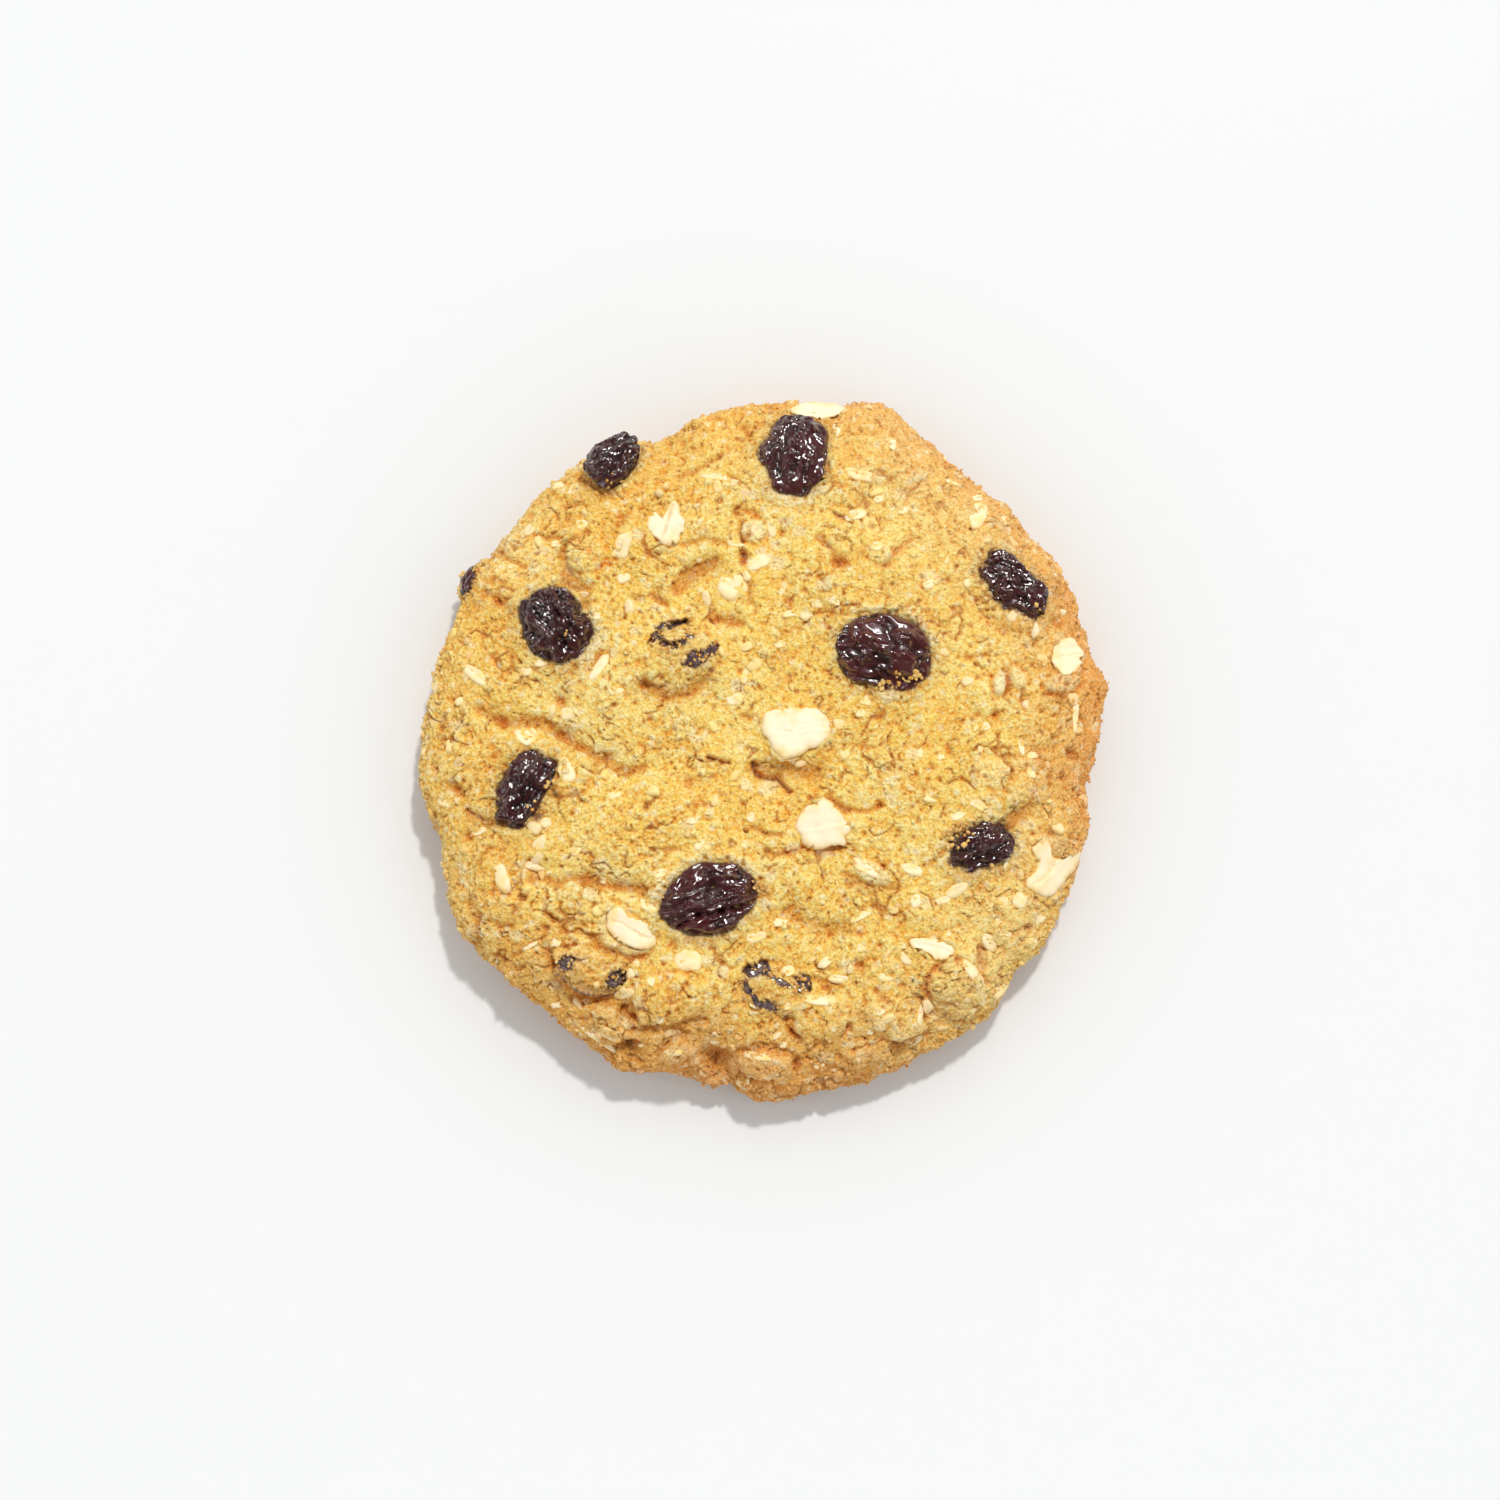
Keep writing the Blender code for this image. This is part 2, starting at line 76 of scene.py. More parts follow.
# name, x, y, length, width, thickness, yaw, pitch, roll, lift, folds, taper, seed
RAISINS = (
    ("raisin_01", -18.9, 36.0, 9.4, 6.2, 5.4, 36.0, 0.0, -14.0, 0.9, 5, 0.10, 11),
    ("raisin_02", 3.5, 36.9, 11.2, 8.4, 5.8, 92.0, -16.0, 0.0, -1.1, 7, 0.06, 12),
    ("raisin_03", -25.9, 15.2, 10.2, 8.8, 5.8, -38.0, 0.0, 0.0, -1.2, 7, 0.04, 13),
    ("raisin_04", 14.8, 11.9, 12.0, 9.6, 6.6, -14.0, 0.0, 0.0, -1.4, 6, 0.05, 14),
    ("raisin_05", 30.9, 20.1, 10.6, 6.6, 5.2, -46.0, -4.0, 12.0, -0.9, 7, 0.14, 15),
    ("raisin_06", -29.7, -5.0, 10.6, 6.6, 5.2, 63.0, 0.0, -8.0, -0.9, 7, 0.10, 16),
    ("raisin_07", 26.7, -12.1, 9.4, 6.0, 5.0, 20.0, 0.0, 0.0, -1.0, 6, 0.08, 17),
    ("raisin_08", -6.8, -18.5, 13.6, 9.6, 6.8, 17.0, 0.0, 0.0, -1.3, 5, 0.06, 18),
    ("raisin_09", -10.0, 12.2, 9.6, 7.6, 5.0, -28.0, 0.0, 0.0, -2.2, 5, 0.05, 19),
    ("raisin_10", -35.5, 20.1, 7.2, 5.8, 4.6, 60.0, 0.0, 0.0, -3.0, 5, 0.05, 20),
    ("raisin_11", -21.5, -27.4, 9.6, 6.0, 4.6, -17.0, 0.0, 0.0, -2.05, 5, 0.05, 21),
    ("raisin_12", 1.2, -29.7, 9.2, 7.4, 4.6, -12.0, 0.0, 0.0, -1.95, 5, 0.05, 22),
)


def outline(theta):
    deg = np.degrees(theta)
    r = np.full_like(deg, MEAN_RADIUS)
    for at, half, height in RIM_LOBES:
        d = (deg - at + 180.0) % 360.0 - 180.0
        r = r + height * np.exp(-(d / half) ** 2)
    return r


RIM_TABLE = outline(np.linspace(-math.pi, math.pi, 7201))


def rim_radius(theta):
    """The outline, read from a fine table."""
    t = (np.asarray(theta, float) + math.pi) % (2.0 * math.pi)
    return np.interp(t, np.linspace(0.0, 2.0 * math.pi, 7201), RIM_TABLE)


def slopes(theta):
    deg = np.degrees(theta)
    waist, power = WAIST_HEIGHT + 0.0 * deg, CROWN_POWER + 0.0 * deg
    for at, half, lower, flatter in RIM_SLOPES:
        w = np.exp(-(((deg - at + 180.0) % 360.0 - 180.0) / half) ** 2)
        waist, power = waist + lower * w, power + flatter * w
    return waist, power


def crown(q, theta):
    q = np.clip(q, 0.0, 1.0)
    waist, power = slopes(theta)
    return waist * q ** 4 + WAIST_HEIGHT * (1.0 - q ** 4) \
        + (CROWN_HEIGHT - waist * q ** 4 - WAIST_HEIGHT * (1.0 - q ** 4)) * np.sqrt(1.0 - q ** power)


def relief(x, y):
    z = 0.16 * np.sin(0.31 * x + 0.8) * np.sin(0.27 * y - 0.4) \
        + 0.12 * np.sin(0.55 * x - 0.34 * y + 1.9) + 0.10 * np.sin(0.47 * y + 0.62 * x - 0.7)
    for cx, cy, a, b, yaw, height in SWELLINGS:
        t = math.radians(yaw)
        u = ((x - cx) * math.cos(t) + (y - cy) * math.sin(t)) / a
        v = (-(x - cx) * math.sin(t) + (y - cy) * math.cos(t)) / b
        z = z + height * np.exp(-(u * u + v * v) ** 1.4)
    for x0, y0, x1, y1, half, depth in HOLLOWS:
        dx, dy = x1 - x0, y1 - y0
        k = np.clip(((x - x0) * dx + (y - y0) * dy) / (dx * dx + dy * dy), 0.0, 1.0)
        d = np.hypot(x - x0 - k * dx, y - y0 - k * dy)
        z = z - depth * np.exp(-(d / half) ** 2)
    return z


def form_height(x, y):
    theta = np.arctan2(y, x)
    q = np.hypot(x, y) / rim_radius(theta)
    fade = np.clip((1.0 - q) / 0.16, 0.0, 1.0)
    return crown(q, theta) + relief(x, y) * (0.25 + 0.75 * fade)


def form_height_at(x, y):
    return float(form_height(np.array([x], float), np.array([y], float))[0])


# ================================================================= noise
def hashed(ix, iy, iz, seed):
    """Four-integer hash to 32-bit numbers, on whole arrays."""
    with np.errstate(over="ignore"):
        h = ix.astype(np.int64).astype(np.uint32) * np.uint32(374761393)
        h = h + iy.astype(np.int64).astype(np.uint32) * np.uint32(668265263)
        h = h + iz.astype(np.int64).astype(np.uint32) * np.uint32(3266489917)
        h = h + np.uint32((seed * 2246822519 + 977) & 0xFFFFFFFF)
        h = h ^ (h >> np.uint32(15))
        h = h * np.uint32(2246822519)
        h = h ^ (h >> np.uint32(13))
        h = h * np.uint32(3266489917)
        h = h ^ (h >> np.uint32(16))
    return h


def unit(h, shift=0):
    return ((h >> np.uint32(shift)) & np.uint32(0x3FF)).astype(np.float64) / 1023.0


def gradient_noise(p, seed):
    """Perlin noise of points p (n, 3), about -0.7 .. 0.7."""
    c = np.floor(p)
    f = p - c
    w = f * f * f * (f * (f * 6.0 - 15.0) + 10.0)
    total = np.zeros(len(p))
    for dx in (0, 1):
        wx = w[:, 0] if dx else 1.0 - w[:, 0]
        for dy in (0, 1):
            wy = w[:, 1] if dy else 1.0 - w[:, 1]
            for dz in (0, 1):
                wz = w[:, 2] if dz else 1.0 - w[:, 2]
                h = hashed(c[:, 0] + dx, c[:, 1] + dy, c[:, 2] + dz, seed)
                gx, gy, gz = unit(h) * 2.0 - 1.0, unit(h, 10) * 2.0 - 1.0, unit(h, 20) * 2.0 - 1.0
                total += wx * wy * wz * (gx * (f[:, 0] - dx) + gy * (f[:, 1] - dy) + gz * (f[:, 2] - dz))
    return total


def fbm(p, seed, octaves=4, gain=0.5):
    total, amp, scale = np.zeros(len(p)), 1.0, 1.0
    for k in range(octaves):
        total += amp * gradient_noise(p * scale + 17.3 * k, seed + 101 * k)
        amp *= gain
        scale *= 2.03
    return total


def cells(p, seed, jitter=0.95):
    """Worley noise: nearest distance, second distance and the nearest cell's own random number."""
    c = np.floor(p)
    f1, f2 = np.full(len(p), 9.0), np.full(len(p), 9.0)
    ident = np.zeros(len(p))
    for dx in (-1, 0, 1):
        for dy in (-1, 0, 1):
            for dz in (-1, 0, 1):
                h = hashed(c[:, 0] + dx, c[:, 1] + dy, c[:, 2] + dz, seed)
                qx = c[:, 0] + dx + 0.5 + jitter * (unit(h) - 0.5)
                qy = c[:, 1] + dy + 0.5 + jitter * (unit(h, 10) - 0.5)
                qz = c[:, 2] + dz + 0.5 + jitter * (unit(h, 20) - 0.5)
                d = np.sqrt((p[:, 0] - qx) ** 2 + (p[:, 1] - qy) ** 2 + (p[:, 2] - qz) ** 2)
                near = d < f1
                f2 = np.where(near, f1, np.minimum(f2, d))
                ident = np.where(near, unit(h, 7), ident)
                f1 = np.where(near, d, f1)
    return f1, f2, ident


def smooth(lo, hi, v):
    t = np.clip((v - lo) / (hi - lo), 0.0, 1.0)
    return t * t * (3.0 - 2.0 * t)


def to_line(x, y, x0, y0, x1, y1):
    """Distance from the points to a segment, place along it (0..1) and signed side."""
    dx, dy = x1 - x0, y1 - y0
    length2 = dx * dx + dy * dy
    k = np.clip(((x - x0) * dx + (y - y0) * dy) / length2, 0.0, 1.0)
    side = ((x - x0) * dy - (y - y0) * dx) / math.sqrt(length2)
    return np.hypot(x - x0 - k * dx, y - y0 - k * dy), k, side


def stamp(message):
    print("scene %6.1f s  %s" % (time.time() - T0, message))

# ================================================================= named marks of the crown, mm
# Cracks and creases: half width, depth, darkness of the painted shade, then points along the line
CREASES = (
    (0.55, 0.75, 1.0, -35.4, 5.1, -32.8, 3.3, -28.5, 3.2, -26.8, 3.2),
    (0.55, 0.85, 1.0, -26.4, 2.6, -24.2, 1.0, -22.6, 0.2, -20.5, -1.25, -19.4, -1.2),
    (0.45, 0.6, 0.9, -18.8, -2.2, -16.9, -2.7, -15.0, -2.3),
    (0.35, 0.5, 0.9, -25.7, 5.9, -24.9, 4.6),
    (0.55, 0.9, 1.0, -29.0, -14.6, -27.7, -15.9, -25.5, -16.6, -24.2, -16.0, -22.3, -16.3, -19.4, -17.0, -15.0, -17.5),
    (0.40, 0.5, 0.9, -36.5, -8.1, -34.6, -9.0, -32.3, -9.4),
    (0.45, 0.6, 0.9, -39.4, -4.6, -37.9, -5.7),
    (0.35, 0.45, 0.8, -29.0, 27.0, -26.5, 26.5, -25.2, 26.3, -25.0, 24.5, -24.5, 22.5),
    (0.35, 0.5, 0.8, -34.5, 24.4, -32.8, 24.6, -31.8, 23.8, -29.8, 22.8),
    (0.45, 0.6, 0.9, -35.0, 19.8, -33.5, 18.6, -31.5, 17.3),
    (0.75, 0.9, 1.1, -24.8, 21.2, -22.5, 19.8, -22.0, 18.3),
    (0.35, 0.5, 0.8, -18.3, 28.0, -17.7, 28.9, -17.0, 29.2),
    (0.35, 0.5, 0.8, -24.8, 30.4, -22.7, 30.9),
    (0.60, 0.9, 1.1, -23.0, 34.3, -21.6, 33.0, -20.2, 32.1, -19.2, 32.2),
    (0.70, 0.9, 1.0, -10.9, 20.0, -9.6, 21.6, -8.0, 22.3, -6.3, 23.2),
    (0.35, 0.8, 1.2, -2.8, 24.8, -2.2, 23.8, -2.6, 23.1),
    (0.30, 0.5, 0.9, -2.4, 26.0, -1.3, 27.5),
    (0.40, 0.7, 1.0, -13.8, 19.0, -12.2, 17.9),
    (0.45, 0.7, 1.0, 6.9, 26.2, 8.5, 24.8, 8.8, 23.3, 10.3, 23.0),
    (0.30, 0.5, 0.9, -2.0, 20.6, -1.8, 18.2),
    (0.40, 0.6, 0.9, -5.9, 16.3, -4.8, 15.8, -3.0, 15.6),
    (0.30, 0.5, 0.8, -10.5, 34.2, -8.5, 34.9, -5.2, 37.0),
    (0.35, 0.5, 0.8, -2.6, 40.6, -1.8, 39.6),
    (0.30, 0.4, 0.8, -4.0, 33.9, -3.0, 33.0),
    (0.35, 0.5, 0.8, -3.3, 30.0, -1.0, 29.2),
    (0.35, 0.5, 0.8, -9.8, 25.5, -7.5, 26.2, -5.0, 25.5),
    (0.30, 0.5, 0.8, 9.0, 29.0, 10.2, 28.8),
    (0.40, 0.5, 0.8, 15.3, 23.0, 16.5, 24.6, 18.5, 26.4),
    (0.30, 0.4, 0.8, 31.8, 25.7, 32.3, 24.9),
    (0.80, 0.6, 0.7, 0.0, -3.0, 3.0, -2.6, 6.0, -3.0),
    (0.28, 0.9, 1.5, -1.2, -1.9, -0.6, -3.2, 0.1, -3.6, 1.6, -3.6, 2.3, -4.2, 3.1, -5.2),
    (0.28, 0.8, 1.4, -6.8, -1.2, -5.2, -1.6, -4.3, -1.7),
    (0.30, 0.6, 1.1, -1.4, -9.8, 0.2, -10.6, 2.1, -10.7),
    (0.35, 0.6, 1.1, 0.2, -12.6, 1.5, -13.3, 3.0, -12.9, 4.3, -12.6),
    (0.45, 0.8, 1.2, 4.8, -12.2, 7.0, -12.7, 9.8, -12.0),
    (0.40, 0.8, 1.2, 7.9, -6.3, 9.3, -7.0, 10.3, -7.7),
    (0.22, 0.5, 1.1, 5.6, -6.1, 7.0, -6.1),
    (0.22, 0.4, 0.9, 10.8, -7.6, 12.8, -7.8, 14.4, -7.2),
    (0.30, 0.4, 0.8, -12.2, -12.4, -10.4, -12.6),
    (0.40, 0.5, 0.8, 10.0, -15.5, 13.0, -17.0, 16.6, -17.6),
    (0.22, 0.4, 0.9, 13.0, -17.4, 13.5, -19.6),
    (0.90, 0.45, 0.6, 3.0, -20.2, 8.0, -22.6, 10.2, -21.8),
    (0.30, 0.5, 0.9, 33.0, -7.1, 34.0, -4.7),
    (0.75, 0.9, 0.9, 30.4, -9.3, 31.4, -8.6, 32.6, -7.8),
    (0.30, 0.5, 0.9, 21.1, -13.9, 22.3, -12.7),
    (0.40, 0.6, 0.9, 30.9, -23.0, 33.6, -22.2),
    (0.35, 0.5, 0.9, 5.7, -28.5, 9.6, -29.5),
    (0.30, 0.5, 0.9, 13.7, -29.9, 15.2, -31.5),
    (0.55, 1.1, 1.2, 27.0, -24.8, 27.3, -26.9),
    (0.35, 0.7, 1.0, 27.4, -24.9, 29.4, -24.7),
    (0.30, 0.6, 1.0, 27.2, -28.3, 28.2, -29.2),
    (0.45, 0.9, 1.1, 16.0, -37.2, 18.2, -36.6, 19.8, -35.8),
    (0.30, 0.8, 1.2, 19.6, -31.2, 20.2, -33.6),
    (0.45, 0.6, 0.7, 20.0, -30.4, 21.8, -31.2, 23.8, -31.6),
    (0.60, 1.0, 1.2, -26.9, -25.2, -26.6, -26.2, -25.9, -27.4, -24.9, -28.9, -23.2, -29.9, -20.6, -30.6, -18.9, -30.4),
    (0.45, 0.8, 1.0, -20.6, -24.0, -19.8, -24.8, -18.3, -25.4, -17.0, -26.0, -15.0, -25.8),
    (0.28, 0.5, 1.0, -31.4, -25.8, -29.6, -24.6, -27.3, -23.4),
    (0.22, 0.4, 0.8, -33.2, -22.3, -31.4, -22.0),
    (0.25, 0.4, 0.8, -27.4, -18.9, -26.9, -20.4, -26.2, -21.3),
    (0.40, 0.6, 0.9, -16.6, -31.6, -16.2, -33.2, -16.4, -35.0),
    (0.55, 0.9, 1.1, -16.2, -35.0, -13.4, -34.8, -10.7, -34.4, -8.0, -33.4),
    (0.40, 0.6, 0.8, -13.4, -37.8, -11.4, -36.0, -9.6, -35.4),
    (0.60, 1.0, 1.1, -20.4, -37.2, -18.4, -37.8, -16.8, -37.2),
    (0.90, 0.8, 0.8, -7.0, -38.4, -5.2, -38.8),
    (0.35, 0.7, 1.0, -2.9, -37.4, -0.4, -37.0, 2.6, -37.6),
    (0.30, 0.6, 1.0, 3.0, -37.7, 4.4, -38.8, 4.0, -40.0),
    (0.30, 0.5, 0.9, 3.5, -33.6, 3.4, -35.6, 4.4, -36.6),
    (0.25, 0.5, 0.9, 10.5, -34.2, 10.3, -35.2),
    (0.70, 0.7, 0.9, -15.1, 8.1, -13.2, 6.9, -11.4, 6.5, -9.6, 6.7, -7.6, 8.3),
    (0.30, 0.6, 1.1, -35.3, -20.6, -35.9, -22.0, -35.2, -24.6),
    (0.35, 0.5, 0.8, 25.2, 11.4, 27.9, 11.8),
    (0.30, 0.4, 0.8, 35.2, -1.7, 34.0, -1.2),
    (0.35, 0.5, 0.8, 38.2, -0.2, 39.6, -1.2),
    (0.35, 0.6, 0.9, 35.4, 7.2, 37.2, 6.5, 38.8, 6.9),
)

# Small pits: x, y, radius, depth, darkness of the painted shade
PITS = (
    (-6.1, -38.6, 1.2, 1.5, 0.55), (-5.0, -39.7, 0.7, 1.0, 0.8), (-6.4, -40.0, 0.35, 0.6, 1.05), (4.1, -39.1, 0.35, 0.6, 1.0),
    (10.6, -34.6, 0.3, 0.7, 1.0),
    (-36.8, -10.8, 0.6, 0.6, 1.1), (-33.5, 18.6, 0.6, 0.7, 1.1), (-2.5, 24.2, 0.5, 0.8, 1.4), (9.3, 23.2, 0.7, 0.8, 1.2),
    (2.9, 18.4, 0.4, 0.6, 1.0), (16.4, 39.8, 0.5, 0.6, 1.0), (22.8, 21.1, 0.35, 0.5, 0.9), (24.8, 24.8, 0.35, 0.5, 1.0),
    (27.3, 24.7, 0.3, 0.5, 1.0), (28.7, 24.6, 0.3, 0.5, 1.0), (36.8, 19.5, 0.6, 0.5, 0.8), (36.2, 16.2, 0.5, 0.5, 0.8),
    (37.0, 15.7, 0.35, 0.5, 0.9), (30.3, 14.9, 0.9, 0.35, 0.7), (32.2, 6.0, 0.6, 0.6, 0.8), (28.8, 4.4, 0.6, 0.5, 0.8),
    (33.7, 0.0, 0.8, 0.5, 0.8), (38.6, -0.5, 0.5, 0.6, 1.1), (35.9, -10.4, 0.5, 0.6, 1.0), (12.1, -27.0, 0.5, 0.6, 1.1),
    (-16.5, -37.4, 1.0, 1.2, 1.5), (-4.0, 16.3, 0.4, 0.5, 0.9), (-5.8, 16.0, 0.5, 0.5, 1.0), (-1.9, 3.9, 0.55, 0.5, 0.9),
    (-9.2, -4.1, 0.55, 0.5, 0.9), (-2.6, -6.9, 0.3, 0.6, 1.1), (-8.6, -7.0, 0.3, 0.4, 0.8), (3.1, 9.0, 0.35, 0.5, 1.0),
    (4.0, 7.2, 0.3, 0.5, 0.9), (-2.9, 9.6, 0.3, 0.5, 0.9), (9.1, 8.8, 0.35, 0.5, 1.0), (12.4, 0.6, 0.5, 0.4, 0.8),
    (13.3, 7.1, 0.5, 0.7, 1.3), (6.9, -13.4, 0.45, 0.6, 1.0), (14.3, -7.0, 0.4, 0.6, 1.2), (8.2, -23.1, 0.4, 0.4, 0.8),
    (12.2, -17.4, 0.6, 0.5, 0.8), (0.4, -18.2, 0.6, 0.6, 1.0), (26.6, 4.2, 0.3, 0.5, 0.9), (22.9, 0.2, 0.35, 0.5, 1.0),
    (20.8, -2.4, 0.3, 0.5, 0.9), (21.9, -3.8, 0.25, 0.5, 1.1), (37.4, -3.6, 0.35, 0.6, 1.3), (35.5, -3.6, 0.4, 0.5, 0.9),
    (16.7, -10.2, 0.3, 0.5, 0.9), (18.7, -3.2, 0.3, 0.5, 0.8), (15.6, -2.6, 0.3, 0.5, 0.9), (38.0, 2.9, 0.35, 0.5, 0.9),
    (-36.3, -20.9, 0.5, 0.6, 1.0), (-36.2, -24.2, 0.5, 0.6, 1.0), (-27.3, -22.4, 0.5, 0.6, 0.9), (-22.2, -22.0, 0.3, 0.4, 0.8),
    (-5.7, -39.9, 0.35, 0.5, 1.2), (17.1, -37.4, 0.5, 0.6, 1.2), (17.3, -29.4, 0.3, 0.5, 1.0), (24.3, -26.3, 0.3, 0.5, 1.0),
    (33.2, -22.6, 0.5, 0.5, 0.9), (-32.5, -26.2, 0.4, 0.5, 0.9), (-14.9, 7.7, 0.35, 0.6, 1.2), (-12.4, 6.3, 0.3, 0.6, 1.2),
    (-6.6, 9.5, 0.35, 0.7, 1.5), (-11.4, -24.4, 0.35, 0.4, 0.9), (-34.4, 6.6, 0.5, 0.5, 0.8), (-39.0, 6.2, 0.35, 0.4, 0.8),
    (-25.4, 6.0, 0.6, 0.5, 0.9), (-32.6, 3.3, 0.5, 0.5, 0.9), (-38.6, -5.0, 0.6, 0.6, 0.9), (-28.9, -16.0, 0.4, 0.6, 0.9),
    (-41.0, -2.4, 0.4, 0.5, 0.9), (-24.0, 9.6, 0.6, 0.6, 1.0), (-23.5, 10.3, 0.4, 0.6, 1.3), (-17.0, 6.7, 0.3, 0.4, 0.8),
    (-14.2, 3.6, 0.25, 0.4, 0.9), (-12.6, -28.9, 0.3, 0.4, 0.8), (2.9, -33.4, 0.5, 0.5, 1.1), (1.7, -30.8, 0.25, 0.3, 1.0),
)

# Raised plates and covered flakes: x, y, semi-axes, yaw, height, edge sharpness, paleness
PLATES = (
    (-1.2, 27.2, 1.6, 1.4, 0.0, 0.35, 3.0, 0.5), (37.2, 8.2, 2.3, 1.1, 12.0, 0.6, 3.0, 0.35),
    (29.4, 8.2, 0.9, 1.6, -10.0, 0.45, 3.0, 0.7), (31.6, 8.9, 0.9, 1.4, 20.0, 0.4, 3.0, 0.4),
    (27.6, 6.6, 2.4, 2.2, 0.0, 0.45, 2.0, 0.0), (28.0, -3.0, 2.6, 1.8, -12.0, 0.45, 2.0, 0.25),
    (37.2, -12.3, 1.7, 1.5, 0.0, 0.35, 2.6, -0.5), (24.0, -30.0, 3.2, 3.4, 25.0, 0.62, 2.4, -0.06),
    (6.9, -33.2, 3.7, 2.9, 0.0, 0.75, 2.6, 0.0), (16.2, -33.8, 3.9, 2.1, -22.0, 0.50, 2.2, 0.05),
    (-21.4, -27.6, 4.6, 2.5, -20.0, 0.55, 2.4, 0.0), (-17.4, -23.2, 3.6, 2.4, -20.0, 0.3, 3.0, 0.35),
    (-18.6, -34.2, 3.8, 1.7, -28.0, 0.60, 2.4, 0.1), (-11.6, -31.4, 5.2, 3.2, 8.0, 0.5, 2.2, 0.0),
    (0.3, -39.6, 3.3, 1.6, -8.0, 0.65, 2.4, 0.1), (-10.7, -37.6, 2.6, 1.0, 12.0, 0.42, 2.2, 0.1), (12.6, -38.2, 3.6, 1.1, 18.0, 0.45, 2.2, -0.1),
    (0.2, -30.3, 2.3, 1.2, -25.0, 0.45, 3.0, 0.0), (-26.0, -4.0, 0.5, 0.5, 0.0, 0.3, 2.0, 0.0),
    (9.8, -25.2, 3.4, 1.9, 12.0, 0.35, 2.0, 0.0), (10.0, 3.2, 1.6, 1.0, -60.0, 0.3, 2.0, 0.0),
    (11.3, -5.6, 1.9, 1.4, 10.0, 0.35, 2.0, -0.1), (13.4, -15.4, 2.6, 1.2, -28.0, 0.4, 3.0, 0.6),
    (2.0, -15.8, 4.2, 2.6, 0.0, 0.3, 1.6, 0.0), (-8.2, -30.5, 2.2, 1.4, 30.0, 0.25, 2.0, 0.0),
    (14.5, 24.2, 1.8, 1.2, -20.0, 0.4, 2.4, 0.15), (-22.3, 24.2, 2.5, 2.0, 10.0, 0.35, 3.0, 0.1),
    (-33.5, -6.6, 2.8, 1.8, 20.0, 0.35, 2.0, 0.0), (-23.0, -19.6, 4.4, 2.0, -6.0, 0.45, 2.0, 0.0),
    (-32.3, -20.0, 3.6, 1.6, -10.0, 0.35, 2.0, -0.1), (-29.8, -27.2, 3.4, 1.8, -20.0, 0.35, 2.0, -0.1),
    (21.4, -20.8, 4.2, 1.6, 4.0, 0.3, 2.0, -0.1), (32.4, -6.0, 2.2, 2.4, 20.0, 0.3, 2.0, 0.0),
    (12.9, 34.4, 2.4, 1.1, -20.0, 0.3, 2.0, 0.2), (-32.2, 26.0, 1.9, 0.9, 0.0, 0.3, 2.0, 0.25),
    (19.2, 34.3, 1.2, 0.9, 30.0, 0.3, 3.0, 0.3), (-10.6, 11.2, 4.4, 3.9, 0.0, 0.2, 2.0, 0.0),
)

# Bare patches of the buried raisins: raisin, x, y, semi-axes, yaw
OPENINGS = (
    ("raisin_10", -38.2, 21.3, 2.3, 1.7, 62.0),
    ("raisin_09", -10.9, 15.5, 1.35, 0.42, 15.0), ("raisin_09", -12.5, 15.2, 0.9, 0.3, 30.0),
    ("raisin_09", -13.7, 13.9, 1.35, 0.5, 35.0), ("raisin_09", -12.4, 13.1, 0.8, 0.5, -40.0),
    ("raisin_09", -10.1, 13.3, 1.15, 0.4, 22.0), ("raisin_09", -8.4, 11.2, 1.6, 0.75, 8.0),
    ("raisin_09", -6.6, 12.1, 1.1, 0.55, 45.0), ("raisin_09", -8.7, 10.4, 1.2, 0.35, 5.0),
    ("raisin_11", -24.8, -26.7, 1.15, 0.95, -30.0), ("raisin_11", -23.6, -26.0, 0.5, 0.4, 0.0),
    ("raisin_11", -18.3, -28.6, 1.5, 0.8, 32.0),
    ("raisin_12", -1.2, -27.6, 1.0, 0.85, 0.0), ("raisin_12", 0.1, -27.2, 0.6, 1.1, 10.0),
    ("raisin_12", 5.0, -28.7, 0.95, 0.75, 0.0), ("raisin_12", 5.2, -29.7, 0.7, 0.45, 10.0),
    ("raisin_12", -1.9, -30.0, 0.95, 0.34, -62.0), ("raisin_12", -0.9, -31.3, 1.1, 0.42, -46.0),
    ("raisin_12", 0.6, -31.9, 1.25, 0.5, -12.0), ("raisin_12", 2.4, -29.2, 1.3, 0.25, -20.0),
    ("raisin_12", 1.1, -28.6, 0.8, 0.24, -30.0),
)
